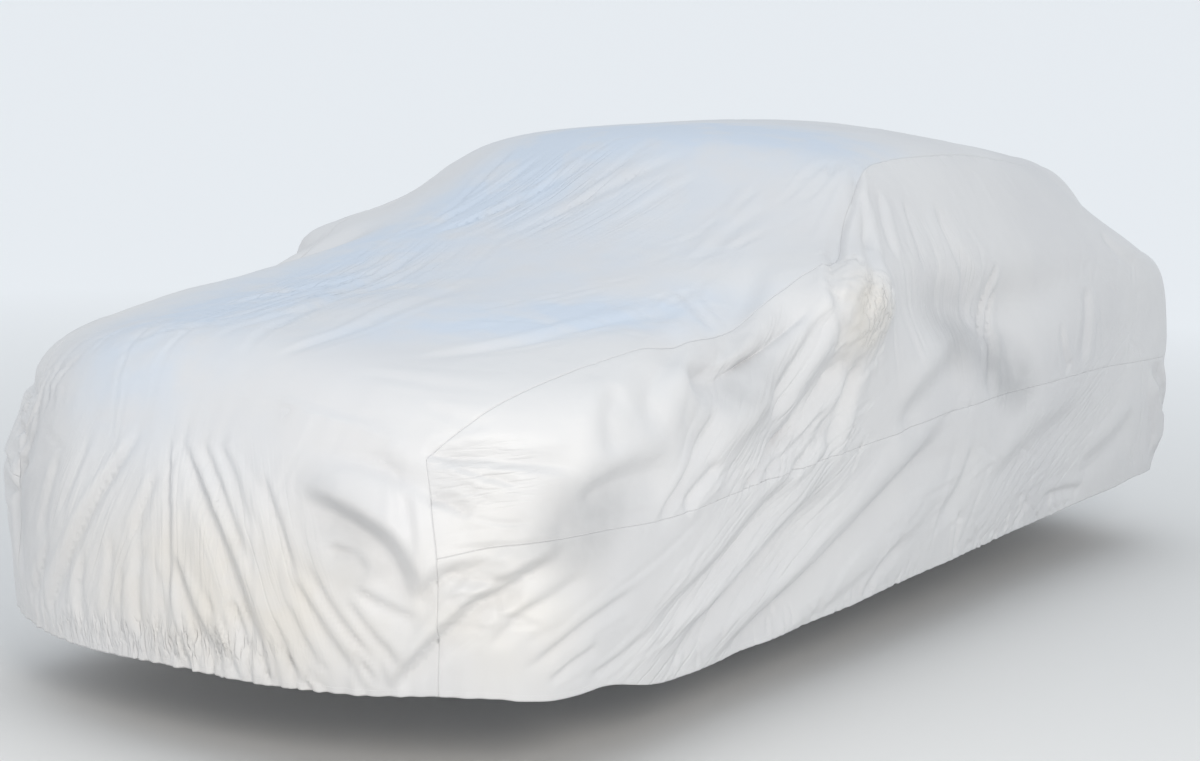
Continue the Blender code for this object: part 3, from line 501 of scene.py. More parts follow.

# %% [markdown]
# ## Folds placed one by one
#
# The main folds are read off the picture, one row each: the places that a fold passes, how wide it
# is at its start and end, how deep, on which side its ridge stands, and how sharp it is, from 0 for
# a soft roll to 1 for a crease. Near a place where the cloth is drawn tight a fold is narrow, and it
# opens as it runs away.

# %% Folds of the nose
NOSE_FOLDS = (
    # name, (start width, end width), depth, ridge, sharp, points
    ("nose middle", (0.012, 0.026), 0.014, 1, 0.6,
     ((-0.04, -2.29, 0.78), (-0.01, -2.32, 0.52), (-0.03, -2.3, 0.25))),
    ("nose far fan", (0.018, 0.034), 0.016, -1, 0.5,
     ((-0.12, -2.28, 0.78), (-0.31, -2.3, 0.51), (-0.5, -2.22, 0.22))),
    ("nose near fan", (0.014, 0.052), 0.026, 1, 0.3,
     ((-0.01, -2.28, 0.77), (0.16, -2.31, 0.52), (0.27, -2.28, 0.25))),
    ("nose third fan", (0.016, 0.028), 0.013, 1, 0.4,
     ((0.05, -2.28, 0.77), (0.15, -2.31, 0.64), (0.23, -2.31, 0.5))),
    ("nose fourth fan", (0.016, 0.026), 0.009, 1, 0.3,
     ((0.1, -2.28, 0.77), (0.17, -2.29, 0.69), (0.23, -2.3, 0.58))),
    ("nose low", (0.016, 0.046), 0.02, 1, 0.4,
     ((0.0, -2.32, 0.5), (0.06, -2.31, 0.36), (0.15, -2.29, 0.22))),
    ("nose short far", (0.016, 0.024), 0.01, -1, 0.4,
     ((-0.06, -2.3, 0.68), (-0.1, -2.31, 0.58), (-0.13, -2.31, 0.5))),
    ("nose middle near", (0.018, 0.024), 0.012, 1, 0.5,
     ((0.25, -2.29, 0.71), (0.31, -2.29, 0.6), (0.36, -2.28, 0.48))),
    ("nose plumb", (0.018, 0.024), 0.01, -1, 0.3,
     ((-0.1, -2.32, 0.52), (-0.12, -2.31, 0.38), (-0.11, -2.3, 0.24))),
    ("nose far plumb", (0.018, 0.026), 0.01, -1, 0.3,
     ((-0.3, -2.29, 0.46), (-0.33, -2.28, 0.34), (-0.32, -2.27, 0.24))),
    ("nose plumb second", (0.014, 0.02), 0.007, -1, 0.3,
     ((-0.2, -2.31, 0.51), (-0.21, -2.3, 0.41), (-0.24, -2.29, 0.28))),
    ("nose plumb third", (0.014, 0.018), 0.006, 1, 0.3,
     ((-0.16, -2.31, 0.44), (-0.19, -2.29, 0.26))),
    ("nose plumb fourth", (0.014, 0.02), 0.007, 1, 0.3,
     ((-0.05, -2.32, 0.47), (-0.04, -2.31, 0.37), (-0.05, -2.3, 0.26))),
    ("nose far slant", (0.018, 0.024), 0.009, -1, 0.3,
     ((-0.45, -2.26, 0.46), (-0.51, -2.23, 0.35), (-0.58, -2.19, 0.26))),
    ("nose far high", (0.018, 0.026), 0.008, -1, 0.3,
     ((-0.42, -2.26, 0.68), (-0.46, -2.26, 0.55), (-0.5, -2.24, 0.42))),
    ("nose far high second", (0.016, 0.022), 0.007, 1, 0.3,
     ((-0.3, -2.27, 0.73), (-0.35, -2.28, 0.61), (-0.4, -2.28, 0.51))),
    ("nose gather 1", (0.012, 0.016), 0.01, 1, 0.5,
     ((0.11, -2.31, 0.42), (0.13, -2.3, 0.35), (0.16, -2.29, 0.26))),
    ("nose gather 2", (0.012, 0.018), 0.012, 1, 0.5,
     ((0.17, -2.31, 0.41), (0.2, -2.3, 0.35), (0.23, -2.29, 0.26))),
    ("nose far corner", (0.03, 0.045), 0.016, -1, 0.2,
     ((-0.56, -2.19, 0.74), (-0.66, -2.16, 0.52), (-0.62, -2.17, 0.28))),
    ("nose near low", (0.018, 0.028), 0.013, 1, 0.4,
     ((0.34, -2.28, 0.5), (0.42, -2.27, 0.38), (0.5, -2.24, 0.26))),
    ("nose near slant", (0.016, 0.024), 0.01, 1, 0.5,
     ((0.38, -2.28, 0.53), (0.45, -2.26, 0.42), (0.52, -2.23, 0.32))),
    ("nose near slant low", (0.014, 0.022), 0.01, 1, 0.5,
     ((0.47, -2.25, 0.46), (0.53, -2.23, 0.38), (0.6, -2.19, 0.3))),
    ("nose near plumb", (0.016, 0.022), 0.008, 1, 0.3,
     ((0.33, -2.29, 0.44), (0.37, -2.27, 0.35), (0.41, -2.25, 0.26))),
    ("nose hump", (0.018, 0.026), 0.012, 1, 0.3,
     ((0.41, -2.27, 0.56), (0.49, -2.25, 0.55), (0.53, -2.24, 0.49))),
    ("nose corner low", (0.018, 0.026), 0.013, 1, 0.4,
     ((0.49, -2.25, 0.48), (0.56, -2.23, 0.44), (0.64, -2.18, 0.41))),
    ("brow lip", (0.024, 0.04), 0.018, 1, 0.5,
     ((0.22, -2.23, 0.87), (0.37, -2.23, 0.81), (0.5, -2.2, 0.78), (0.62, -2.17, 0.73))),
    ("corner sweep lip", (0.045, 0.075), 0.052, 1, 0.4,
     ((0.33, -2.27, 0.69), (0.49, -2.24, 0.64), (0.59, -2.21, 0.57), (0.65, -2.18, 0.43))),
    ("corner plumb", (0.016, 0.022), 0.008, 1, 0.4,
     ((0.59, -2.19, 0.71), (0.61, -2.19, 0.63), (0.62, -2.19, 0.54))),
    ("corner plumb second", (0.014, 0.02), 0.006, -1, 0.4,
     ((0.55, -2.19, 0.75), (0.58, -2.2, 0.68), (0.59, -2.2, 0.61))),
)
print("folds of the nose:", len(NOSE_FOLDS))

# %% Folds round the near nose corner
CORNER_FOLDS = (
    ("skirt sweep lip", (0.022, 0.036), 0.032, 1, 0.6,
     ((0.54, -2.21, 0.22), (0.66, -2.17, 0.38), (0.77, -2.1, 0.5), (0.88, -1.95, 0.6))),
    ("corner pinch", (0.014, 0.034), 0.015, -1, 0.6,
     ((0.61, -2.16, 0.77), (0.7, -2.1, 0.77), (0.8, -2.03, 0.77), (0.88, -1.9, 0.75))),
    ("corner line high", (0.014, 0.03), 0.01, -1, 0.6,
     ((0.6, -2.17, 0.78), (0.68, -2.11, 0.78), (0.78, -2.05, 0.79))),
    ("corner flare", (0.012, 0.026), 0.012, 1, 0.5,
     ((0.7, -2.15, 0.44), (0.75, -2.11, 0.47), (0.82, -2.05, 0.49))),
    ("corner fold low", (0.014, 0.03), 0.014, 1, 0.3,
     ((0.62, -2.18, 0.44), (0.68, -2.17, 0.52), (0.8, -2.07, 0.55))),
    ("corner pinch branch", (0.012, 0.022), 0.012, -1, 0.6,
     ((0.66, -2.14, 0.76), (0.72, -2.09, 0.74), (0.8, -2.04, 0.72))),
    ("corner pinch middle", (0.012, 0.02), 0.012, -1, 0.7,
     ((0.63, -2.17, 0.68), (0.67, -2.15, 0.68), (0.72, -2.12, 0.65))),
    ("corner pinch low", (0.014, 0.022), 0.01, -1, 0.5,
     ((0.67, -2.16, 0.54), (0.73, -2.13, 0.51), (0.81, -2.06, 0.51))),
    ("corner line", (0.014, 0.018), 0.005, 1, 0.4,
     ((0.66, -2.17, 0.58), (0.78, -2.09, 0.59), (0.88, -1.97, 0.6))),
    ("skirt corner", (0.02, 0.03), 0.012, 1, 0.4,
     ((0.75, -2.11, 0.35), (0.83, -2.04, 0.45), (0.89, -1.9, 0.52))),
    ("skirt corner low", (0.016, 0.024), 0.009, 1, 0.4,
     ((0.81, -2.05, 0.3), (0.88, -1.92, 0.39), (0.89, -1.69, 0.45))),
    ("skirt tuck", (0.014, 0.02), 0.008, 1, 0.5,
     ((0.84, -1.99, 0.27), (0.87, -1.93, 0.31), (0.88, -1.84, 0.34))),
    ("skirt tuck second", (0.014, 0.02), 0.007, 1, 0.4,
     ((0.87, -1.88, 0.26), (0.87, -1.75, 0.29), (0.88, -1.6, 0.34))),
)
print("folds round the corner:", len(CORNER_FOLDS))

# %% Folds of the side, before the ear
SIDE_FOLDS = (
    ("side long low", (0.022, 0.04), 0.014, 1, 0.3,
     ((0.87, -1.57, 0.2), (0.88, -1.26, 0.33), (0.89, -0.99, 0.44), (0.89, -0.69, 0.57))),
    ("side long low second", (0.02, 0.03), 0.009, 1, 0.3,
     ((0.87, -1.63, 0.23), (0.88, -1.34, 0.33), (0.88, -1.04, 0.45), (0.89, -0.78, 0.57))),
    ("side long", (0.024, 0.05), 0.02, 1, 0.3,
     ((0.86, -1.34, 0.17), (0.87, -0.88, 0.3), (0.89, -0.43, 0.47), (0.89, 0.1, 0.68))),
    ("side soft", (0.04, 0.06), 0.016, 1, 0.0,
     ((0.89, -0.42, 0.66), (0.89, -0.14, 0.75), (0.88, 0.12, 0.83))),
    ("side fore", (0.026, 0.04), 0.012, 1, 0.3,
     ((0.88, -1.66, 0.32), (0.89, -1.29, 0.45), (0.9, -0.94, 0.62))),
    ("side sharp 1", (0.012, 0.02), 0.01, 1, 0.7,
     ((0.89, -1.26, 0.61), (0.9, -1.1, 0.69), (0.9, -0.95, 0.76))),
    ("side sharp 2", (0.012, 0.02), 0.01, 1, 0.7,
     ((0.9, -1.18, 0.61), (0.9, -0.98, 0.69), (0.9, -0.82, 0.78))),
    ("side sharp 3", (0.012, 0.02), 0.01, -1, 0.6,
     ((0.9, -1.02, 0.61), (0.9, -0.88, 0.68), (0.9, -0.74, 0.77))),
    ("side crease", (0.014, 0.022), 0.009, 1, 0.6,
     ((0.89, -1.65, 0.58), (0.89, -1.48, 0.7), (0.9, -1.31, 0.83))),
    ("side ridge", (0.014, 0.022), 0.009, -1, 0.5,
     ((0.89, -1.52, 0.59), (0.89, -1.44, 0.65), (0.89, -1.35, 0.7))),
    ("ear fan high", (0.024, 0.046), 0.018, 1, 0.2,
     ((0.88, -0.84, 1.08), (0.89, -1.04, 1.0), (0.9, -1.23, 0.91), (0.89, -1.46, 0.84))),
    ("ear fan", (0.02, 0.04), 0.016, 1, 0.2,
     ((0.91, -0.86, 1.04), (0.91, -1.01, 0.92), (0.9, -1.15, 0.78))),
    ("ear fan low", (0.024, 0.04), 0.018, 1, 0.2,
     ((0.93, -0.75, 0.92), (0.9, -0.94, 0.77), (0.9, -1.19, 0.63))),
    ("ear drop", (0.02, 0.034), 0.014, 1, 0.3,
     ((0.92, -0.68, 0.9), (0.9, -0.72, 0.77), (0.9, -0.82, 0.64))),
    ("shoulder soft", (0.04, 0.06), 0.016, 1, 0.0,
     ((0.76, -0.8, 1.13), (0.89, -1.15, 0.96), (0.9, -1.4, 0.8))),
    ("shoulder drop", (0.036, 0.056), 0.02, 1, 0.1,
     ((0.64, -0.78, 1.14), (0.81, -1.21, 1.0), (0.89, -1.48, 0.85))),
    ("shoulder drop low", (0.026, 0.04), 0.013, 1, 0.2,
     ((0.9, -1.08, 0.98), (0.9, -1.31, 0.83), (0.89, -1.55, 0.71))),
    ("foredeck drop", (0.026, 0.04), 0.011, 1, 0.2,
     ((0.69, -1.25, 1.02), (0.82, -1.49, 0.96), (0.86, -1.62, 0.89), (0.89, -1.66, 0.78))),
    ("foredeck drop second", (0.024, 0.034), 0.007, -1, 0.1,
     ((0.82, -1.71, 0.92), (0.87, -1.81, 0.85), (0.89, -1.81, 0.75))),
    ("fore quarter", (0.024, 0.036), 0.009, 1, 0.2,
     ((0.88, -1.95, 0.67), (0.89, -1.78, 0.71), (0.89, -1.56, 0.71))),
)
print("folds of the side:", len(SIDE_FOLDS))

# %% Folds of the flank, from the ear to the tail
FLANK_FOLDS = (
    ("ear line", (0.016, 0.026), 0.012, 1, 0.7,
     ((0.62, -0.2, 1.39), (0.71, -0.38, 1.3), (0.77, -0.57, 1.19), (0.88, -0.8, 1.1))),
    ("ear edge", (0.014, 0.02), 0.007, -1, 0.5,
     ((0.76, -0.59, 1.19), (0.84, -0.74, 1.14), (0.9, -0.84, 1.08), (0.93, -0.87, 1.0))),
    ("ear flat", (0.02, 0.03), 0.01, 1, 0.3,
     ((0.79, -0.4, 1.24), (0.86, -0.56, 1.16), (0.95, -0.7, 1.08), (0.96, -0.76, 0.98))),
    ("ear line sister", (0.016, 0.022), 0.008, 1, 0.5,
     ((0.71, -0.34, 1.33), (0.77, -0.43, 1.24), (0.84, -0.53, 1.15))),
    ("flank crown", (0.018, 0.024), 0.007, 1, 0.3,
     ((0.72, -0.24, 1.32), (0.78, -0.32, 1.23), (0.84, -0.37, 1.12))),
    ("flank crown second", (0.018, 0.026), 0.006, -1, 0.3,
     ((0.74, -0.12, 1.29), (0.8, -0.16, 1.2), (0.84, -0.17, 1.08))),
    ("flank ridge", (0.026, 0.044), 0.014, -1, 0.1,
     ((0.74, 0.06, 1.28), (0.82, 0.07, 1.15), (0.84, 0.14, 1.02), (0.87, 0.18, 0.87))),
    ("flank pair", (0.014, 0.022), 0.012, 1, 0.5,
     ((0.8, 0.34, 1.06), (0.84, 0.3, 0.95), (0.88, 0.2, 0.83))),
    ("flank pair second", (0.014, 0.02), 0.01, 1, 0.5,
     ((0.82, 0.38, 1.0), (0.85, 0.34, 0.92), (0.88, 0.26, 0.84))),
    ("flank light", (0.02, 0.034), 0.011, 1, 0.2,
     ((0.85, 0.35, 0.92), (0.88, 0.31, 0.8), (0.89, 0.23, 0.68))),
    ("aft quarter", (0.024, 0.036), 0.009, 1, 0.2,
     ((0.86, 0.98, 0.98), (0.88, 0.97, 0.88), (0.89, 0.93, 0.7))),
    ("aft quarter low", (0.016, 0.022), 0.006, 1, 0.4,
     ((0.88, 0.75, 0.88), (0.89, 0.77, 0.79), (0.89, 0.84, 0.71))),
    ("aft low soft", (0.04, 0.06), 0.01, 1, 0.0,
     ((0.89, 0.25, 0.4), (0.89, 0.59, 0.5), (0.89, 1.0, 0.57))),
    ("aft low soft second", (0.036, 0.05), 0.009, 1, 0.0,
     ((0.88, 1.01, 0.35), (0.88, 1.26, 0.42), (0.89, 1.46, 0.51))),
    ("flank low", (0.024, 0.034), 0.007, 1, 0.1,
     ((0.88, -0.06, 0.34), (0.89, 0.08, 0.45), (0.89, 0.15, 0.58))),
    ("hem tuck 1", (0.014, 0.018), 0.007, 1, 0.4,
     ((0.86, 0.08, 0.22), (0.87, 0.08, 0.29), (0.88, 0.09, 0.37))),
    ("hem tuck 2", (0.012, 0.018), 0.008, 1, 0.5,
     ((0.87, 0.55, 0.24), (0.87, 0.59, 0.28), (0.88, 0.63, 0.33))),
    ("hem tuck 3", (0.014, 0.022), 0.007, 1, 0.3,
     ((0.86, -0.51, 0.2), (0.87, -0.41, 0.27), (0.88, -0.27, 0.33))),
    ("hem tuck 4", (0.014, 0.018), 0.006, 1, 0.5,
     ((0.87, 0.74, 0.31), (0.87, 0.92, 0.31), (0.87, 1.13, 0.29))),
    ("tail slit lip", (0.026, 0.04), 0.022, -1, 0.5,
     ((0.89, 1.56, 0.66), (0.88, 1.66, 0.56), (0.86, 1.74, 0.44), (0.85, 1.74, 0.33))),
    ("tail corner", (0.03, 0.045), 0.014, -1, 0.2,
     ((0.87, 1.72, 0.7), (0.83, 1.84, 0.52), (0.78, 1.86, 0.34))),
    ("deck shoulder", (0.024, 0.034), 0.007, 1, 0.2,
     ((0.81, 1.23, 1.15), (0.86, 1.3, 1.08), (0.88, 1.46, 1.0))),
)
print("folds of the flank:", len(FLANK_FOLDS))

# %% Folds on top
TOP_FOLDS = (
    ("foredeck long", (0.018, 0.034), 0.011, 1, 0.5,
     ((0.1, -2.2, 0.93), (-0.03, -1.83, 1.01), (-0.22, -1.35, 1.04), (-0.31, -0.97, 1.12))),
    ("foredeck long near", (0.018, 0.034), 0.009, 1, 0.4,
     ((0.17, -2.18, 0.94), (0.2, -1.96, 0.99), (0.13, -1.62, 1.02), (0.05, -1.2, 1.07))),
    ("foredeck long far", (0.018, 0.03), 0.008, 1, 0.4,
     ((-0.03, -2.17, 0.94), (-0.06, -1.77, 1.01), (-0.14, -1.4, 1.04), (-0.2, -1.1, 1.08))),
    ("foredeck near", (0.022, 0.044), 0.009, 1, 0.2,
     ((0.43, -2.05, 0.95), (0.53, -1.74, 0.98), (0.57, -1.42, 1.01), (0.66, -1.1, 1.05))),
    ("foredeck near edge", (0.02, 0.032), 0.004, 1, 0.4,
     ((0.36, -2.12, 0.93), (0.55, -2.06, 0.92), (0.72, -1.96, 0.91))),
    ("foredeck corner", (0.018, 0.026), 0.004, 1, 0.4,
     ((0.56, -2.11, 0.88), (0.64, -2.09, 0.86), (0.72, -2.04, 0.84))),
    ("foredeck far", (0.018, 0.028), 0.008, 1, 0.4,
     ((-0.38, -1.8, 1.0), (-0.31, -1.47, 1.03), (-0.24, -1.15, 1.07))),
    ("foredeck far edge", (0.016, 0.024), 0.007, -1, 0.3,
     ((-0.33, -2.15, 0.93), (-0.21, -2.09, 0.97), (-0.06, -2.02, 0.99))),
    ("rake long", (0.018, 0.032), 0.01, 1, 0.4,
     ((-0.36, -0.95, 1.13), (-0.21, -0.7, 1.25), (-0.06, -0.47, 1.37))),
    ("rake long near", (0.018, 0.034), 0.01, 1, 0.4,
     ((-0.12, -0.98, 1.14), (0.02, -0.68, 1.26), (0.21, -0.42, 1.39))),
    ("rake long far", (0.016, 0.028), 0.008, 1, 0.4,
     ((-0.4, -0.95, 1.13), (-0.38, -0.66, 1.24), (-0.3, -0.46, 1.35))),
    ("rake edge far", (0.016, 0.026), 0.008, -1, 0.3,
     ((-0.44, -0.8, 1.18), (-0.46, -0.57, 1.28), (-0.47, -0.36, 1.38))),
    ("rake faint", (0.018, 0.024), 0.005, 1, 0.3,
     ((0.17, -0.8, 1.2), (0.22, -0.64, 1.27), (0.29, -0.5, 1.33))),
    ("rake near", (0.022, 0.032), 0.008, 1, 0.2,
     ((0.53, -0.92, 1.13), (0.5, -0.7, 1.2), (0.54, -0.52, 1.28))),
    ("ear foot", (0.016, 0.024), 0.009, -1, 0.4,
     ((0.56, -1.06, 1.07), (0.65, -1.13, 1.05), (0.76, -1.2, 1.02))),
    ("crown corner", (0.014, 0.022), 0.006, 1, 0.4,
     ((0.56, -0.56, 1.26), (0.57, -0.41, 1.34), (0.57, -0.26, 1.39))),
    ("crown corner second", (0.014, 0.02), 0.005, -1, 0.4,
     ((0.61, -0.52, 1.26), (0.62, -0.4, 1.32), (0.6, -0.25, 1.39))),
)
print("folds on top:", len(TOP_FOLDS))

# %% Folds of the tail, which the picture doesn't show
TAIL_FOLDS = (
    ("tail middle", (0.018, 0.034), 0.015, 1, 0.4,
     ((0.02, 2.07, 0.84), (0.0, 2.1, 0.6), (0.03, 2.08, 0.31))),
    ("tail left", (0.018, 0.034), 0.015, 1, 0.4,
     ((0.28, 2.05, 0.86), (0.36, 2.07, 0.62), (0.42, 2.05, 0.32))),
    ("tail right", (0.02, 0.036), 0.017, -1, 0.4,
     ((-0.22, 2.06, 0.86), (-0.33, 2.07, 0.6), (-0.38, 2.05, 0.32))),
    ("tail far", (0.02, 0.034), 0.014, -1, 0.3,
     ((-0.48, 2.02, 0.82), (-0.58, 2.01, 0.58), (-0.62, 1.97, 0.34))),
    ("tail near", (0.018, 0.03), 0.011, 1, 0.3,
     ((0.5, 2.01, 0.78), (0.58, 2.0, 0.58), (0.6, 1.97, 0.38))),
    ("tail slant", (0.018, 0.028), 0.01, -1, 0.3,
     ((-0.06, 2.08, 0.78), (-0.16, 2.09, 0.6), (-0.18, 2.08, 0.42))),
    ("deck slant", (0.022, 0.04), 0.01, 1, 0.2,
     ((-0.5, 1.1, 1.3), (-0.4, 1.42, 1.18), (-0.22, 1.8, 1.1))),
    ("deck slant left", (0.022, 0.036), 0.008, -1, 0.2,
     ((0.44, 1.14, 1.3), (0.34, 1.46, 1.16), (0.3, 1.8, 1.1))),
    ("deck cross", (0.03, 0.04), 0.008, 1, 0.0,
     ((-0.36, 1.66, 1.13), (-0.05, 1.6, 1.15), (0.3, 1.68, 1.13))),
)
print("folds of the tail:", len(TAIL_FOLDS))

# %% How much of each table's width and depth the fine cloth has
FOLD_TABLES = (
    # folds, share of their width, of their depth, and of the depth that smaller folds beside them have
    (NOSE_FOLDS, 0.70, 1.00, 0.12),
    (CORNER_FOLDS, 0.85, 1.00, 0.12),
    (SIDE_FOLDS, 1.30, 2.10, 0.08),
    (FLANK_FOLDS, 1.00, 1.60, 0.10),
    (TOP_FOLDS, 0.75, 0.90, 0.30),
    (TAIL_FOLDS, 0.95, 1.50, 0.30),
)


def main_folds():
    """All the main folds, with their regions' shares applied, each with its companions' share."""
    folds = []
    for table, wide, deep, beside in FOLD_TABLES:
        for name, (start, end), depth, ridge, sharp, points in table:
            fold = (name, (start * wide, end * wide), depth * deep, ridge, sharp, points)
            folds.append((fold, beside))
    return folds


print("main folds:", len(main_folds()))

# %% [markdown]
# ## A fold's profile and its relief
#
# Across a fold the cloth drops into a trough and rises to a ridge beside it. The profile is drawn as
# straight lines and blurred: a little for a sharp crease, more for a soft roll. A fold with "lip" in
# its name is a step, where one layer of slack lies over the next. Moving the vertices along the
# surface's normal keeps the panel one even grid, which sculpting or a simulation wouldn't.

# %% The folds' profiles
PROFILE_AT = np.linspace(-4.0, 4.0, 401)


def fold_profile(places, heights, blur):
    """Height across a fold, straight between the given places with its corners rounded off."""
    line = np.interp(PROFILE_AT, places, heights)
    kernel = np.exp(-(PROFILE_AT / blur) ** 2)
    return np.convolve(line, kernel / kernel.sum(), "same")


SHARP_PROFILE = fold_profile((-1.8, 0.0, 0.9, 3.0), (0.0, -1.0, 0.35, 0.0), 0.08)
SOFT_PROFILE = fold_profile((-2.2, 0.0, 1.4, 3.4), (0.0, -1.0, 0.45, 0.0), 0.50)
LIP_PROFILE = fold_profile((-2.8, -0.60, 0.50, 3.0), (0.0, -0.6, 0.6, 0.0), 0.20)
CREASE_PROFILE = fold_profile((-1.5, 0.0, 1.1, 2.6), (0.0, -1.0, 0.50, 0.0), 0.15)
print("a sharp fold is", round(-float(SHARP_PROFILE.min()), 2), "of its depth deep, a soft one",
      round(-float(SOFT_PROFILE.min()), 2))

# %% The right side's folds
SIDE_FOLD_X = 0.60                   # a fold whose points all lie outside this is a side fold
RIGHT_SHIFT_Y, RIGHT_SHIFT_REACH, RIGHT_DEPTH_SHARE = 0.09, 2.4, 0.85


def right_side_folds():
    """The side folds again, mirrored for the right side, a little along and a little shallower."""
    folds = []
    for (name, widths, depth, ridge, sharp, points), _ in main_folds():
        if min(point[0] for point in points) > SIDE_FOLD_X:
            moved = tuple((-x, y + RIGHT_SHIFT_Y * (1 + y / RIGHT_SHIFT_REACH), z) for x, y, z in points)
            folds.append((name + " right", widths, depth * RIGHT_DEPTH_SHARE, -ridge, sharp, moved))
    return tuple(folds)


print("folds of the right side:", len(right_side_folds()))

# %% Smaller folds beside the main ones
COMPANIONS = 2
COMPANION_SEED = 5
BESIDE_GAP_START, BESIDE_GAP_END = (1.2, 2.6), (1.6, 3.4)   # times the main fold's widths
BESIDE_FROM, BESIDE_TO = (0.0, 0.25), (0.7, 1.0)            # shares of its length
BESIDE_DEPTH, BESIDE_WIDTHS, BESIDE_SHARPER = (0.7, 1.4), (0.6, 0.55), 0.4


def companion_folds():
    """Two smaller folds beside each long fold, shorter and shallower, as a pull makes them."""
    random = np.random.default_rng(COMPANION_SEED)
    folds = []
    for (name, widths, depth, ridge, sharp, points), beside in main_folds():
        places = onto_form(np.array(points, float))
        runs = np.gradient(places, axis=0)
        across = np.cross(form_normals(places), runs)
        across /= np.linalg.norm(across, axis=1, keepdims=True)
        for i in range(COMPANIONS):
            side = ridge * (-1.0) ** i
            gap_start = widths[0] * random.uniform(*BESIDE_GAP_START)
            gap_end = widths[1] * random.uniform(*BESIDE_GAP_END)
            gap = gap_start + (gap_end - widths[0]) * np.linspace(0.0, 1.0, len(points))
            start, end = random.uniform(*BESIDE_FROM), random.uniform(*BESIDE_TO)
            u = np.linspace(start, end, len(points)) * (len(points) - 1)
            moved = tuple(map(tuple, curve_at(places + across * (side * gap)[:, None], u)))
            share = beside * random.uniform(*BESIDE_DEPTH)
            thin = (widths[0] * BESIDE_WIDTHS[0], widths[1] * BESIDE_WIDTHS[1])
            sharper = min(sharp + BESIDE_SHARPER, 1.0)
            folds.append((name + " beside", thin, depth * share, -side, sharper, moved))
    return tuple(folds)


all_folds = tuple(fold for fold, _ in main_folds()) + right_side_folds() + companion_folds()
print("folds in all:", len(all_folds))

# %% Relief of one fold
FOLD_FADE = 0.24                     # share of its length over which a fold fades at each end
FOLD_REACH = 3.6                     # widths from its line to which it reaches
CURVE_STEPS = 8


def fold_relief(points, normals, fold):
    """Height that one fold adds at each point: a trough with a ridge beside it, faded at both ends."""
    name, (start_width, end_width), depth, ridge, sharp, passes = fold
    u = np.linspace(0.0, len(passes) - 1, (len(passes) - 1) * CURVE_STEPS + 1)
    curve = onto_form(curve_at(passes, u))
    reach = FOLD_REACH * max(start_width, end_width)
    in_box = (points > curve.min(0) - reach) & (points < curve.max(0) + reach)
    near = np.flatnonzero(np.all(in_box, axis=1))
    relief = np.zeros(len(points))
    if not len(near):
        return relief
    place, normal = points[near], normals[near]
    best = np.full(len(near), np.inf)
    aside, along = np.zeros(len(near)), np.zeros(len(near))
    for i in range(len(curve) - 1):
        low = np.minimum(curve[i], curve[i + 1]) - reach
        high = np.maximum(curve[i], curve[i + 1]) + reach
        close = np.flatnonzero(np.all((place > low) & (place < high), axis=1))
        run = curve[i + 1] - curve[i]
        off = place[close] - curve[i]
        t = np.clip(off @ run / (run @ run), 0.0, 1.0)
        off -= t[:, None] * run
        distance = np.linalg.norm(off, axis=1)
        closer = distance < best[close]
        close, off, distance, t = close[closer], off[closer], distance[closer], t[closer]
        left = np.cross(normal[close], run)
        best[close] = distance
        aside[close] = (off * left).sum(1) / np.linalg.norm(left, axis=1)
        along[close] = (i + t) / (len(curve) - 1)
    width = start_width + (end_width - start_width) * along
    past_end = np.sqrt(np.maximum(best ** 2 - aside ** 2, 0.0))
    fade = np.clip(along / FOLD_FADE, 0.0, 1.0) * np.clip((1.0 - along) / FOLD_FADE, 0.0, 1.0)
    fade = fade * fade * (3 - 2 * fade) * np.exp(-(past_end / width) ** 2)
    profile = sharp * SHARP_PROFILE + (1.0 - sharp) * SOFT_PROFILE
    if name.endswith("lip"):
        profile = LIP_PROFILE
    shape = np.interp(ridge * aside / width, PROFILE_AT, profile)
    relief[near] = depth * fade * shape
    return relief


# %% [markdown]
# ## Small creases by the patch
#
# Between the main folds lie hundreds of small creases. They are not placed one by one: a table
# says where a patch of them lies, how they run, how long, wide and deep they are and how many, and
# a seeded random draw places each. The same draw serves both panels at a seam, so that a crease
# runs across it.

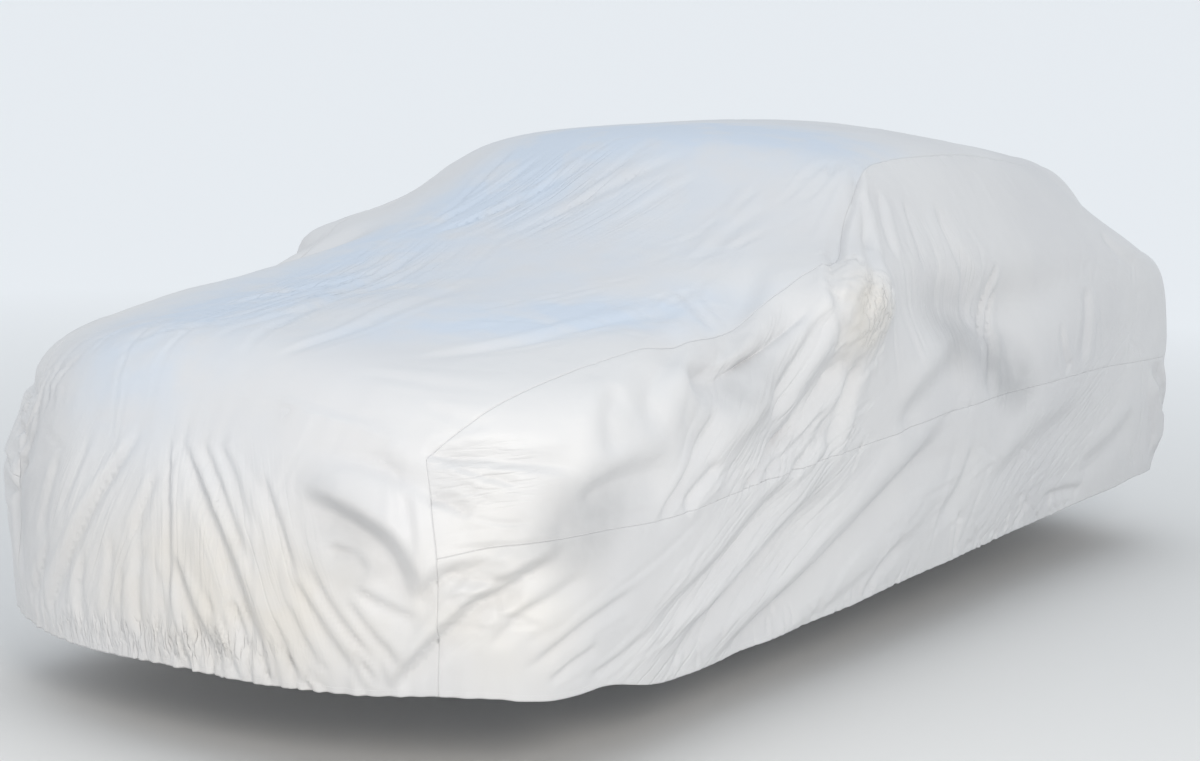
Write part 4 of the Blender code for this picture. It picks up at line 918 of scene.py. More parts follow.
# %% Crease patches
CREASES = (
    # name, centre, reach each way, run, turn off it, count, length, width, depth
    ("ear crumple", (0.96, -0.7, 1.02), (0.06, 0.15, 0.14), (0, 0.4, 1),
     1.6, 60, 0.075, 0.013, 0.003),
    ("ear ridge puckers", (0.86, -0.72, 1.13), (0.05, 0.07, 0.06), (0.6, 1, -0.1),
     0.2, 22, 0.04, 0.007, 0.0034),
    ("ear far crumple", (-0.96, -0.66, 1.02), (0.06, 0.13, 0.12), (0, 0.4, 1),
     1.6, 60, 0.065, 0.013, 0.0036),
    ("nose far corner", (-0.62, -2.15, 0.72), (0.2, 0.1, 0.16), (-0.4, 0.1, -1),
     0.7, 40, 0.09, 0.014, 0.004),
    ("nose fan fine", (0.02, -2.31, 0.58), (0.36, 0.05, 0.16), (0.1, 0, -1),
     0.3, 14, 0.18, 0.008, 0.002),
    ("nose hem far", (-0.35, -2.26, 0.27), (0.3, 0.08, 0.05), (0.1, 0, -1),
     0.2, 50, 0.06, 0.008, 0.003),
    ("nose hem", (0.14, -2.29, 0.28), (0.22, 0.05, 0.06), (0.25, 0, -1),
     0.25, 44, 0.075, 0.009, 0.0044),
    ("nose hem near", (0.48, -2.25, 0.29), (0.16, 0.06, 0.05), (0.5, 0.1, -1),
     0.35, 24, 0.06, 0.009, 0.003),
    ("near corner puckers", (0.72, -2.1, 0.72), (0.1, 0.07, 0.08), (0.6, 0.7, 0),
     0.3, 12, 0.06, 0.007, 0.002),
    ("near corner low", (0.74, -2.1, 0.45), (0.1, 0.07, 0.1), (0.6, 0.7, 0.4),
     0.45, 20, 0.07, 0.008, 0.0022),
    ("brow fine", (0.35, -2.22, 0.83), (0.2, 0.04, 0.05), (1, 0, -0.3),
     0.35, 16, 0.07, 0.009, 0.0018),
    ("foredeck far lines", (-0.2, -1.55, 1.03), (0.22, 0.45, 0.03), (-0.22, 1, 0.1),
     0.07, 30, 0.45, 0.011, 0.0024),
    ("foredeck near lines", (0.5, -1.4, 1.03), (0.22, 0.35, 0.03), (0.1, 1, 0.1),
     0.25, 22, 0.18, 0.012, 0.0018),
    ("foredeck far front", (-0.4, -2.08, 0.95), (0.28, 0.14, 0.03), (0.6, 1, 0),
     0.6, 24, 0.09, 0.011, 0.0022),
    ("rake lines", (-0.22, -0.7, 1.25), (0.26, 0.18, 0.08), (0.3, 1, 0.55),
     0.08, 26, 0.38, 0.012, 0.002),
    ("rake near lines", (0.48, -0.72, 1.2), (0.14, 0.18, 0.08), (0.05, 1, 0.5),
     0.25, 18, 0.12, 0.011, 0.002),
    ("rake foot crumple", (0.6, -1.3, 1.03), (0.12, 0.25, 0.03), (1, -0.5, 0),
     0.5, 18, 0.08, 0.01, 0.002),
    ("crown corner", (0.62, -0.3, 1.36), (0.06, 0.16, 0.05), (-0.1, 1, 0.5),
     0.35, 20, 0.08, 0.008, 0.002),
    ("crown seam puckers", (0.62, 0.2, 1.36), (0.03, 0.5, 0.03), (1, 0, -0.5),
     0.3, 34, 0.035, 0.007, 0.0022),
    ("flank", (0.84, -0.1, 1.05), (0.06, 0.35, 0.18), (0.2, 0.3, -1),
     0.35, 18, 0.16, 0.014, 0.0018),
    ("flank pair", (0.86, 0.28, 0.92), (0.04, 0.12, 0.1), (0.2, -0.2, -1),
     0.2, 14, 0.08, 0.008, 0.0022),
    ("waist", (0.89, -1.0, 0.68), (0.03, 0.4, 0.07), (0, 1, 0.6),
     0.25, 34, 0.09, 0.008, 0.0024),
    ("waist aft", (0.89, 0.45, 0.69), (0.03, 0.55, 0.04), (0, 1, 0.15),
     0.5, 26, 0.06, 0.008, 0.0018),
    ("skirt", (0.89, -1.1, 0.4), (0.03, 0.55, 0.13), (0, 1, 0.52),
     0.1, 26, 0.26, 0.012, 0.0018),
    ("skirt aft", (0.89, 0.4, 0.42), (0.03, 0.8, 0.13), (0, 1, 0.6),
     0.4, 40, 0.14, 0.012, 0.0014),
    ("side hem", (0.87, -0.6, 0.21), (0.02, 1.0, 0.03), (0, 0.3, 1),
     0.6, 60, 0.035, 0.008, 0.0024),
    ("side hem aft", (0.87, 0.65, 0.26), (0.02, 0.5, 0.04), (0, 0.4, 1),
     0.7, 46, 0.04, 0.008, 0.003),
    ("tail quarter", (0.86, 1.62, 0.5), (0.04, 0.16, 0.18), (0, -0.3, 1),
     0.4, 24, 0.08, 0.009, 0.0024),
    ("aft quarter", (0.86, 1.2, 0.9), (0.05, 0.35, 0.16), (0, 0.3, -1),
     0.8, 26, 0.11, 0.012, 0.0014),
    ("right flank", (-0.87, 0.0, 0.9), (0.08, 1.4, 0.24), (0, 0.5, 1),
     0.7, 90, 0.13, 0.011, 0.002),
    ("right skirt", (-0.89, -0.3, 0.42), (0.03, 1.6, 0.15), (0, 1, 0.5),
     0.5, 80, 0.14, 0.01, 0.002),
    ("right hem", (-0.87, -0.3, 0.22), (0.02, 1.6, 0.03), (0, 0.3, 1),
     0.6, 90, 0.04, 0.008, 0.0026),
    ("tail hem", (0.0, 2.07, 0.33), (0.6, 0.06, 0.05), (0.1, 0, -1),
     0.25, 90, 0.065, 0.009, 0.0034),
    ("tail", (0.0, 2.09, 0.62), (0.5, 0.05, 0.18), (0, 0, -1),
     0.3, 50, 0.12, 0.011, 0.0022),
    ("tail deck", (0.0, 1.75, 1.1), (0.5, 0.16, 0.03), (1, 0.3, 0),
     0.6, 24, 0.12, 0.012, 0.0018),
    ("aft rake", (0.0, 1.35, 1.24), (0.45, 0.2, 0.06), (0.2, 1, -0.4),
     0.5, 30, 0.16, 0.012, 0.0018),
    ("crown", (0.0, 0.4, 1.45), (0.5, 0.6, 0.02), (0.3, 1, 0),
     0.5, 40, 0.16, 0.013, 0.001),
)

print("patches:", len(CREASES), "creases in them:", sum(row[5] for row in CREASES))

# %% Drawing the creases
CREASE_SEED = 11
CREASE_VARIETY = (0.6, 1.4)          # shares of the length, width and depth that a crease has
CREASE_BEND = 2.0


def draw_creases():
    """Places every small crease on the form, as a row of facts for each."""
    random = np.random.default_rng(CREASE_SEED)
    rows = []
    for _, centre, reach, run, spread_angle, count, length, width, depth in CREASES:
        aims = np.array(centre) + random.uniform(-1.0, 1.0, (count, 3)) * reach
        places = onto_form(aims)
        normals = form_normals(places)
        turn = random.normal(0.0, spread_angle, count)
        along = np.array(run, float) - normals * (normals @ np.array(run, float))[:, None]
        along /= np.linalg.norm(along, axis=1, keepdims=True)
        along = along * np.cos(turn)[:, None] + np.cross(normals, along) * np.sin(turn)[:, None]
        size = random.uniform(*CREASE_VARIETY, (3, count))
        for i in range(count):
            rows.append((
                places[i], along[i], np.cross(normals[i], along[i]),
                length * size[0, i], width * size[1, i], depth * size[2, i],
                random.choice((-1.0, 1.0)), random.uniform(-CREASE_BEND, CREASE_BEND)))
    return rows


small_creases = draw_creases()
print("small creases:", len(small_creases))

# %% Relief of the creases
LENGTHS_OUT, WIDTHS_OUT = 1.1, 3.0   # how far from its middle a crease reaches
BEND_SHARE = 0.1                     # of its length, that a crease bends by at its ends
CREASE_TAPER = 1.6


def crease_relief(points, creases):
    """Height that all the small creases add at each point."""
    order = np.argsort(points[:, 1])
    ranked = points[order]
    relief = np.zeros(len(points))
    for place, along, across, length, width, depth, ridge, bend in creases:
        reach = LENGTHS_OUT * length + WIDTHS_OUT * width
        low, high = np.searchsorted(ranked[:, 1], (place[1] - reach, place[1] + reach))
        off = ranked[low:high] - place
        near = np.flatnonzero(np.abs(off).max(1) < reach)
        if not len(near):
            continue
        off = off[near]
        run = off @ along / length
        aside = (off @ across - bend * length * BEND_SHARE * run ** 2) / width
        shape = np.interp(ridge * aside, PROFILE_AT, CREASE_PROFILE)
        relief[order[low + near]] += depth * shape * np.exp(-(CREASE_TAPER * run) ** 4)
    return relief


one_crease = crease_relief(small_creases[0][0][None], small_creases[:1])
print("the first crease at its middle:", round(float(one_crease[0]) * 1000.0, 2), "mm")

# %% [markdown]
# ## Slack
#
# No stretch of hanging cloth is quite even. Lattice noise, a smooth random height between the
# corners of a grid in space, adds broad slack and fine wrinkling. Taking the size of the noise
# instead of the noise turns its dunes into creases. Long swells and single bulges and hollows come
# first: they are where the picture shows the cloth fuller or flatter than the form.

# %% Swells, bulges and hollows
SWELLS = (
    # turn in radians per metre along x, y and z, height
    ((3.4, 1.8, 4.6), 0.0050),
    ((-5.8, 4.2, 2.6), 0.0035),
    ((1.6, 7.4, -6.2), 0.0025),
)
BULGES = (
    # name, place, reach, height
    ("far nose corner", (-0.80, -2.08, 0.57), 0.12, 0.022),
    ("above it", (-0.78, -2.08, 0.75), 0.07, -0.014),
    ("ear face", (0.96, -0.69, 1.04), 0.100, -0.026),
    ("ear face right", (-0.96, -0.65, 1.04), 0.100, -0.022),
    ("fore quarter hollow", (0.86, -1.97, 0.68), 0.16, -0.026),
    ("side fore hollow", (0.90, -1.26, 0.98), 0.16, -0.018),
    ("hollow behind ear", (0.86, -0.05, 0.98), 0.18, -0.026),
    ("waist hollow", (0.89, 0.36, 0.84), 0.16, -0.034),
    ("aft hollow", (0.88, 1.05, 0.40), 0.26, -0.016),
)


def broad_relief(points):
    """Height of the long soft swells and of the single bulges."""
    relief = np.zeros(len(points))
    for turn, height in SWELLS:
        relief += height * np.sin(points @ np.array(turn))
    for _, place, reach, height in BULGES:
        relief += height * np.exp(-(np.linalg.norm(points - place, axis=1) / reach) ** 2)
    return relief


print("broad relief at the ear:", round(1000.0 * float(broad_relief(EAR[None])[0]), 1), "mm")

# %% Lattice noise
CORNER_SHUFFLE, SEED_SHUFFLE, LAST_SHUFFLE = (73856093, 19349663, 83492791), 2654435761, 1274126177


def lattice_noise(points, seed):
    """Smooth noise from -1 to 1, one wave to each unit of length."""
    cell = np.floor(points).astype(np.int64)
    t = points - cell
    t = t * t * t * (t * (t * 6 - 15) + 10)
    total = np.zeros(len(points))
    for corner in np.ndindex(2, 2, 2):
        at = cell + corner
        mixed = (at * CORNER_SHUFFLE).sum(1) ^ (seed * SEED_SHUFFLE)
        mixed = ((mixed ^ (mixed >> 13)) * LAST_SHUFFLE) & 0x7FFFFFFF
        value = ((mixed >> 8) & 0xFFFF) / 32767.5 - 1.0
        total += value * np.prod(np.where(corner, t, 1.0 - t), axis=1)
    return total


print("noise at two places:", lattice_noise(np.array(((0.2, 0.4, 0.1), (3.3, 0.7, 2.2))), 1).round(2))

# %% The cloth's slack
SLACK = (
    # waves per metre along x, y and z, height, share of it that is creased
    ((1.6, 1.1, 1.9), 0.0030, 0.0),
    ((4.5, 3.0, 3.6), 0.0034, 0.3),
    ((11.0, 8.0, 8.0), 0.0014, 0.6),
    ((26.0, 20.0, 18.0), 0.0006, 0.7),
)
SLACK_SHIFT = 7.3                    # moves each noise off the one before
CREASED_RISE, CREASED_DROP = 0.6, 2.0


def slack_relief(points):
    """Height that the cloth's own slack adds at each point."""
    relief = np.zeros(len(points))
    for seed, (waves, height, creased) in enumerate(SLACK):
        noise = lattice_noise(points * waves + SLACK_SHIFT * seed, seed + 1)
        folded = CREASED_RISE - CREASED_DROP * np.abs(noise)
        relief += height * ((1.0 - creased) * noise + creased * folded)
    return relief


print("slack is at most", round(1000.0 * sum(row[1] for row in SLACK), 1), "mm")

# %% [markdown]
# ## Draping a panel
#
# A panel's grid of aims is thrown on to the form, its normals are taken there, and all the relief is
# added along them. Seams are drawn in to a groove with small puckers, and the hem stands a little
# proud, as turned cloth does, and is drawn into gathers by its elastic at the nose and the tail.

# %% Gathers of the hem's elastic
GATHER_DEPTH, GATHER_REACH, GATHER_FALL, GATHERS_PER_METRE = 0.0060, 0.055, 1.3, 23.0
SIDE_GATHER_SHARE = 0.30             # of the depth, that the gathers have along the sides
ENDS_FROM_Y, ENDS_LENGTH, END_HEM_Y = 1.85, 0.25, 1.9
WOBBLE_WAVES, WOBBLE_SEED = 5.0, 21
STRENGTH_WAVES, STRENGTH_SEED, STRENGTH_MIDDLE, STRENGTH_SWING = 4.0, 22, 0.55, 0.45
ROUND_SHARE, ROUND_WOBBLE = 0.6, 3.0                  # one wave is round,
RIDGE_SHARE, RIDGE_PITCH, RIDGE_WOBBLE = 0.5, 0.61, 2.0   # and a slower one has sharp ridges


def hem_gathers(points, from_hem):
    """The elastic's gathers: ridges up from the hem, strong at nose and tail and weak at the sides."""
    from_middle = np.abs(points[:, 1])
    at_ends = np.clip((from_middle - ENDS_FROM_Y) / ENDS_LENGTH, SIDE_GATHER_SHARE, 1.0)
    round_hem = points[:, 0] + np.sign(points[:, 0]) * points[:, 1]
    place = np.where(from_middle > END_HEM_Y, points[:, 0], round_hem)
    flat = np.stack([place, np.zeros(len(place)), np.zeros(len(place))], 1)
    wobble = lattice_noise(flat * WOBBLE_WAVES, WOBBLE_SEED)
    strength = STRENGTH_MIDDLE + STRENGTH_SWING * lattice_noise(flat * STRENGTH_WAVES, STRENGTH_SEED)
    wave = np.sin(2 * np.pi * GATHERS_PER_METRE * place + ROUND_WOBBLE * wobble)
    ridges = np.abs(np.sin(np.pi * GATHERS_PER_METRE * RIDGE_PITCH * place + RIDGE_WOBBLE * wobble))
    wave = ROUND_SHARE * wave + RIDGE_SHARE * (1.0 - 2.0 * ridges)
    return GATHER_DEPTH * strength * at_ends * wave * np.exp(-(from_hem / GATHER_REACH) ** GATHER_FALL)


print("gathers round the nose hem:", round(GATHERS_PER_METRE * 2.0 * STATIONS[0][HEM_LINE][0]))

# %% Draping
SEAM_DIP, SEAM_WIDTH = 0.00015, 0.0040
SEAM_LIP, SEAM_LIP_AT, SEAM_LIP_WIDTH = 0.0004, 0.012, 0.008
PUCKER_DEPTH, PUCKER_REACH, PUCKERS_PER_METRE, PUCKER_SEED = 0.0010, 0.022, 26.0, 31
PUCKER_RISE, PUCKER_DROP = 0.4, 1.6
HEM_TURN, HEM_PROUD, HEM_STEP = 0.0145, 0.0006, 0.003
HEM_STITCH, HEM_STITCH_WIDTH = 0.0010, 0.0022


def drape(aims, from_seam, from_hem):
    """Draped points of a grid of aims, and the form's normals there."""
    shape = aims.shape
    points = onto_form(aims).reshape(-1, 3)
    normals = form_normals(points)
    relief = broad_relief(points) + slack_relief(points) + crease_relief(points, small_creases)
    for fold in all_folds:
        relief += fold_relief(points, normals, fold)
    seam, hem = from_seam.reshape(-1), from_hem.reshape(-1)
    relief -= SEAM_DIP * np.exp(-(seam / SEAM_WIDTH) ** 2)
    relief += SEAM_LIP * np.exp(-((seam - SEAM_LIP_AT) / SEAM_LIP_WIDTH) ** 2)
    puckers = PUCKER_RISE - PUCKER_DROP * np.abs(lattice_noise(points * PUCKERS_PER_METRE, PUCKER_SEED))
    relief += PUCKER_DEPTH * puckers * np.exp(-(seam / PUCKER_REACH) ** 2)
    relief += hem_gathers(points, hem)
    relief += HEM_PROUD * np.clip((HEM_TURN - hem) / HEM_STEP, 0.0, 1.0)
    relief -= HEM_STITCH * np.exp(-((hem - HEM_TURN) / HEM_STITCH_WIDTH) ** 2)
    return (points + normals * relief[:, None]).reshape(shape), normals.reshape(shape)


print("puckers at the seams:", PUCKER_DEPTH * 1000.0, "mm, gathers:", GATHER_DEPTH * 1000.0, "mm")

# %% [markdown]
# ## Giving a panel its thickness
#
# Real cloth is a few tenths of a millimetre thick. A closed sheet of about 2 mm reads the same and
# is a solid body. The Solidify modifier would double every face, so the inner layer is made by hand
# instead: it uses every second row and column, as nobody sees it, and a rim of five-sided faces
# joins the two. The UV map is the cloth laid flat, in metres, for the weave to follow.

# %% Faces of a sheet
def sheet_faces(rows, columns):
    """Faces of a closed sheet: an outer grid, an inner one of every second line, and the rim."""
    outer_at = np.arange(rows * columns).reshape(rows, columns)
    inner_rows, inner_columns = (rows + 1) // 2, (columns + 1) // 2
    inner_at = rows * columns + np.arange(inner_rows * inner_columns).reshape(inner_rows, -1)
    sides = []
    for at, turned in ((outer_at, False), (inner_at, True)):
        quads = np.stack([at[:-1, :-1], at[:-1, 1:], at[1:, 1:], at[1:, :-1]], -1).reshape(-1, 4)
        sides.append(quads[:, ::-1] if turned else quads)
    outer_ring, inner_ring = (
        np.concatenate([at[0, :-1], at[:-1, -1], at[-1, :0:-1], at[:0:-1, 0]])
        for at in (outer_at, inner_at))
    first, middle = outer_ring[::2], outer_ring[1::2]
    last = np.roll(first, -1)
    rim = np.stack([last, middle, first, inner_ring, np.roll(inner_ring, -1)], -1)
    return np.vstack(sides), rim


print("a grid of 5 by 5 closes with", [len(faces) for faces in sheet_faces(5, 5)], "quads and rim faces")


# %% Mesh of a sheet
def sheet_object(name, outer, normals, thickness):
    """A closed sheet as an object, with a map of the cloth in metres across and along."""
    rows, columns = outer.shape[:2]
    inner = (outer - normals * thickness[..., None])[::2, ::2]
    quads, rim = sheet_faces(rows, columns)
    first = np.cross(outer[1, 1] - outer[1, 0], outer[2, 0] - outer[1, 0])
    if first @ normals[1, 0] < 0.0:
        quads, rim = quads[:, ::-1], rim[:, ::-1]
    corners = np.concatenate([quads.ravel(), rim.ravel()])
    starts = np.concatenate([np.arange(len(quads)) * 4, quads.size + np.arange(len(rim)) * 5])
    mesh = bpy.data.meshes.new(name)
    places = np.vstack([outer.reshape(-1, 3), inner.reshape(-1, 3)]) - ORIGIN
    mesh.vertices.add(len(places))
    mesh.vertices.foreach_set("co", places.ravel())
    mesh.loops.add(len(corners))
    mesh.loops.foreach_set("vertex_index", corners)
    mesh.polygons.add(len(starts))
    mesh.polygons.foreach_set("loop_start", starts)
    mesh.update(calc_edges=True)
    mesh.validate()
    mesh.shade_smooth()
    mesh.polygons.foreach_set("use_smooth", np.arange(len(starts)) < len(quads))
    across, along = run_length(outer.transpose(1, 0, 2)).T, run_length(outer)
    flat = np.stack([across, along], -1)
    flat = np.vstack([flat.reshape(-1, 2), flat[::2, ::2].reshape(-1, 2)])
    mesh.uv_layers.new(name="cloth").uv.foreach_set("vector", flat[corners].ravel())
    return add_object(name, mesh)


print("a sheet is", CLOTH * 1000.0, "mm thick, and", HEM * 1000.0, "mm at the turned hem")

# %% [markdown]
# ## The five panels
#
# On the real cover the panels are sewn edge to edge, so that no light shows between them. Each panel
# is draped on its own here, and its edge would stray a little from its neighbour's. So the side
# panels' edges are put exactly on the strip's before the sheets are closed. Five sheets and not one,
# because each is a piece that a maker cuts, and a seam can then open up or be changed by itself.

# %% Closing the seams
def edge_distances(grid):
    """Distance of each grid point from the first and last row, and from the first and last column."""
    down, across = run_length(grid), run_length(grid.transpose(1, 0, 2)).T
    return down, down[-1] - down, across, across[:, -1:] - across


def snapped(points, line):
    """The points of a line that lie nearest to the given points."""
    start, run = line[:-1], np.diff(line, axis=0)
    off = points[:, None] - start
    t = np.clip((off * run).sum(-1) / (run * run).sum(-1), 0.0, 1.0)
    on_line = start + run * t[..., None]
    best = np.argmin(np.linalg.norm(points[:, None] - on_line, axis=-1), axis=1)
    return on_line[np.arange(len(points)), best]


def close_seams(draped):
    """Moves the side panels' edges exactly on to the strip's, so that no light shows between them."""
    strip = draped["centre_strip"]
    for word, edge in (("left", strip[:, -1]), ("right", strip[:, 0])):
        upper, skirt = draped["upper_side_" + word], draped["skirt_" + word]
        upper[0] = snapped(upper[0], edge)
        for panel in (upper, skirt):
            panel[:, 0] = snapped(panel[:, 0], edge)
            panel[:, -1] = snapped(panel[:, -1], edge)


corner_line = np.array(((0.0, 0.0, 0.0), (0.0, 1.0, 0.0), (1.0, 1.0, 0.0)))
print("a point beside a line snaps to", snapped(np.array(((0.4, 0.9, 0.2),)), corner_line)[0])

# %% Building the panels
NO_HEM = 9.0                         # distance from a hem, for a panel that has none


def triangle_count(mesh):
    """Triangles that a mesh's faces come to."""
    return len(mesh.loops) - 2 * len(mesh.polygons)


def build_panels():
    """Drapes the strip, the upper panels and the skirts, and returns their objects and grids."""
    panels = {}
    aims = strip_grid()
    top, bottom, right, left = edge_distances(aims)
    panels["centre_strip"] = (aims, np.minimum(right, left), np.minimum(top, bottom))
    for side, word in ((1, "left"), (-1, "right")):
        aims = side_grid(side, SHOULDER, WAIST, SEAM_ROWS, UPPER_MIDDLE_ROWS)
        top, bottom, nose, tail = edge_distances(aims)
        seam = np.minimum(np.minimum(top, bottom), np.minimum(nose, tail))
        panels["upper_side_" + word] = (aims, seam, np.full(seam.shape, NO_HEM))
        aims = side_grid(side, WAIST, HEM_LINE, HEM_ROWS, SKIRT_MIDDLE_ROWS)
        top, bottom, nose, tail = edge_distances(aims)
        panels["skirt_" + word] = (aims, np.minimum(top, np.minimum(nose, tail)), bottom)
    places, facing = {}, {}
    for name, (aims, seam, hem) in panels.items():
        places[name], facing[name] = drape(aims, seam, hem)
    close_seams(places)
    made = {}
    for name, (aims, seam, hem) in panels.items():
        thickness = np.where(hem < HEM_TURN, HEM, CLOTH)
        cloth = sheet_object("cloth_" + name, places[name], facing[name], thickness)
        made[name] = (cloth, places[name], facing[name])
        print(name, "grid", aims.shape[:2], "triangles", triangle_count(cloth.data))
    return made


panels = build_panels()

# %% [markdown]
# ## The cloth's finish
#
# Light woven polyester with a silver coating: pale, hardly metallic, satin. What is finer than the
# mesh is bump, from three shader node groups: small crinkles, fine long creases and the weave. A
# fourth group gives the coating's colour and its gloss, which both drift from place to place, and
# mixes painted sky light, painted warm bounce light and painted shade into the colour. A group is
# built once and then placed in each material with its own values, so that all the panels change
# together when it does. Painted images would blur close up.

# %% Shader helpers: nodes and groups
def feed(tree, socket, value):
    """Sets an input to a value, or links it where the value is another node's output."""
    if isinstance(value, bpy.types.NodeSocket):
        tree.links.new(value, socket)
    else:
        socket.default_value = value


def add_node(tree, kind, **settings):
    """A node with its settings and inputs given: an input by its label, with _ for a space."""
    node = tree.nodes.new(kind)
    for key, value in settings.items():
        label = key.replace("_", " ")
        if label in node.inputs:
            feed(tree, node.inputs[label], value)
        else:
            setattr(node, key, value)
    return node


def node_group(name, inputs, outputs):
    """An empty shader node group with named sockets: its tree, what comes in and what goes out."""
    group = bpy.data.node_groups.new(name, "ShaderNodeTree")
    for label, kind, value in inputs:
        socket = group.interface.new_socket(label, in_out="INPUT", socket_type="NodeSocket" + kind)
        if value is not None:
            socket.default_value = value
    for label, kind in outputs:
        group.interface.new_socket(label, in_out="OUTPUT", socket_type="NodeSocket" + kind)
    return group, group.nodes.new("NodeGroupInput").outputs, group.nodes.new("NodeGroupOutput").inputs


# %% Shader helpers: sums, ranges and lengths
def calculated(tree, operation, *values):
    """Result of a Math node."""
    node = add_node(tree, "ShaderNodeMath", operation=operation)
    for socket, value in zip(node.inputs, values):
        feed(tree, socket, value)
    return node.outputs[0]


def total_of(tree, heights):
    """Sum of several values."""
    total = heights[0]
    for height in heights[1:]:
        total = calculated(tree, "ADD", total, height)
    return total


def ranged(tree, value, before, after, interpolation_type="LINEAR"):
    """A value brought from one range into another and held inside it."""
    node = add_node(
        tree, "ShaderNodeMapRange", interpolation_type=interpolation_type, Value=value,
        From_Min=before[0], From_Max=before[1], To_Min=after[0], To_Max=after[1])
    return node.outputs["Result"]


def patch_mask(tree, vector, core, strength):
    """A soft patch round a vector's zero: full inside the core and nothing from 1 outwards."""
    away = add_node(tree, "ShaderNodeVectorMath", operation="LENGTH")
    tree.links.new(vector, away.inputs[0])
    return ranged(tree, away.outputs["Value"], (1.0, core), (0.0, strength), "SMOOTHSTEP")


# %% Shader helpers: colours, bumps and materials
def graded(tree, value, stops):
    """Colour from a ramp between two stops, each a position and a colour."""
    ramp = add_node(tree, "ShaderNodeValToRGB", Fac=value)
    for element, (position, colour) in zip(ramp.color_ramp.elements, stops):
        element.position = position
        element.color = colour
    return ramp.outputs["Color"]


def mixed(tree, share, first, second):
    """Colour between two others."""
    node = add_node(tree, "ShaderNodeMix", data_type="RGBA")
    for at, value in ((0, share), (6, first), (7, second)):
        feed(tree, node.inputs[at], value)
    return node.outputs[2]


def bumped(tree, height, size, **under):
    """Normal of a bump of some strength and distance, laid over another normal if one is given."""
    bump = add_node(tree, "ShaderNodeBump", Height=height, Strength=size[0], Distance=size[1], **under)
    return bump.outputs["Normal"]


def new_material(name):
    """A material with its node tree, its shader's inputs, and its places on the object."""
    material = bpy.data.materials.new(name)
    material.use_nodes = True
    tree = material.node_tree
    places = tree.nodes.new("ShaderNodeTexCoord").outputs
    return material, tree, tree.nodes["Principled BSDF"].inputs, places


# %% Crinkles and weave
CRINKLE_SCALE, WEAVE_THREADS = 14.0, 420.0


def crinkle_group():
    """Small sharp crinkles all over the cloth, as a height."""
    group, source, target = node_group(
        "cloth_crinkle", (("Vector", "Vector", None), ("Scale", "Float", CRINKLE_SCALE)),
        (("Height", "Float"),))
    crinkles = add_node(
        group, "ShaderNodeTexNoise", noise_type="RIDGED_MULTIFRACTAL", Vector=source["Vector"],
        Scale=source["Scale"], Detail=5.0, Roughness=0.62)
    group.links.new(crinkles.outputs["Fac"], target["Height"])
    return group


def weave_group():
    """Plain weave: threads over and under, as a height, from the cloth's own map in metres."""
    group, source, target = node_group(
        "cloth_weave", (("Vector", "Vector", None), ("Threads", "Float", WEAVE_THREADS)),
        (("Height", "Float"),))
    waves = [
        add_node(
            group, "ShaderNodeTexWave", bands_direction=direction, Vector=source["Vector"],
            Scale=source["Threads"]).outputs["Fac"]
        for direction in ("X", "Y")]
    group.links.new(calculated(group, "MULTIPLY", *waves), target["Height"])
    return group


crinkle, weave = crinkle_group(), weave_group()
print("groups:", crinkle.name, "and", weave.name)

# %% [markdown]
# Fine long creases lie close together where the cloth is pulled, in fans and bundles. One patch of
# them is noise that is stretched along the pull: where the noise crosses its middle value, a thin
# valley runs. A soft mask keeps the patch to its place. Modelled creases of this size would need
# millions of faces.

# %% Streaks
NOISE_MIDDLE, VALLEY_WIDTH = 0.5, 0.075
PATCH_CORE = 0.35                    # share of a patch's reach inside which it is at its full depth


def streaks_group():
    """Fine long creases in one patch: thin valleys along the patch's own x axis, as a height."""
    group, source, target = node_group(
        "cloth_streaks",
        (("Vector", "Vector", None), ("Place", "Vector", None), ("Turn", "Vector", None),
         ("Streak", "Vector", None), ("Reach", "Vector", None), ("Depth", "Float", 1.0)),
        (("Height", "Float"),))
    local = [
        add_node(
            group, "ShaderNodeMapping", vector_type="TEXTURE", Vector=source["Vector"],
            Location=source["Place"], Rotation=source["Turn"], Scale=source[size]).outputs["Vector"]
        for size in ("Streak", "Reach")]
    noise = add_node(
        group, "ShaderNodeTexNoise", Vector=local[0], Scale=1.0, Detail=2.0, Roughness=0.5)
    off = calculated(group, "SUBTRACT", noise.outputs["Fac"], NOISE_MIDDLE)
    valley = ranged(group, calculated(group, "ABSOLUTE", off), (0.0, VALLEY_WIDTH), (-1.0, 0.0))
    mask = patch_mask(group, local[1], PATCH_CORE, source["Depth"])
    group.links.new(calculated(group, "MULTIPLY", valley, mask), target["Height"])
    return group


streaks = streaks_group()
print("a patch of streaks takes", len(streaks.interface.items_tree) - 1, "inputs")

# %% [markdown]
# ## The coating's colour, with painted light and shade
#
# The coating is silver, and its tone drifts. Painted sky light makes it bluer where it faces up,
# painted warm light bounced from the floor makes it creamier low on the nose and the near corner,
# the ears are creamier, and painted shade makes it greyer in the hollows. Speckled noise breaks
# these patches up. They are placed one by one, as the creases are, as noise alone would put them
# anywhere.

# %% Colours
SILVER, PALE = (0.665, 0.665, 0.675, 1.0), (0.70, 0.70, 0.705, 1.0)
# Tints: painted sky light, cream that is partly painted warm bounce light, and painted shade.
TINTS = {
    "Blue": (0.60, 0.665, 0.755, 1.0),
    "CreamAndPaintedBounce": (0.675, 0.65, 0.61, 1.0),
    "PaintedShade": (0.47, 0.475, 0.485, 1.0),
}
DRIFT_NOISE, SPECKLE_NOISE = {"Scale": 1.8, "Detail": 3.0}, {"Scale": 7.0, "Detail": 4.0}
SILVER_AT, PALE_AT = 0.36, 0.62      # values of the drifting noise at which each is pure
SPECKLE, SPECKLE_SHARE = (0.30, 0.60), (0.35, 1.0)
ROUGHNESS = (0.50, 0.64)


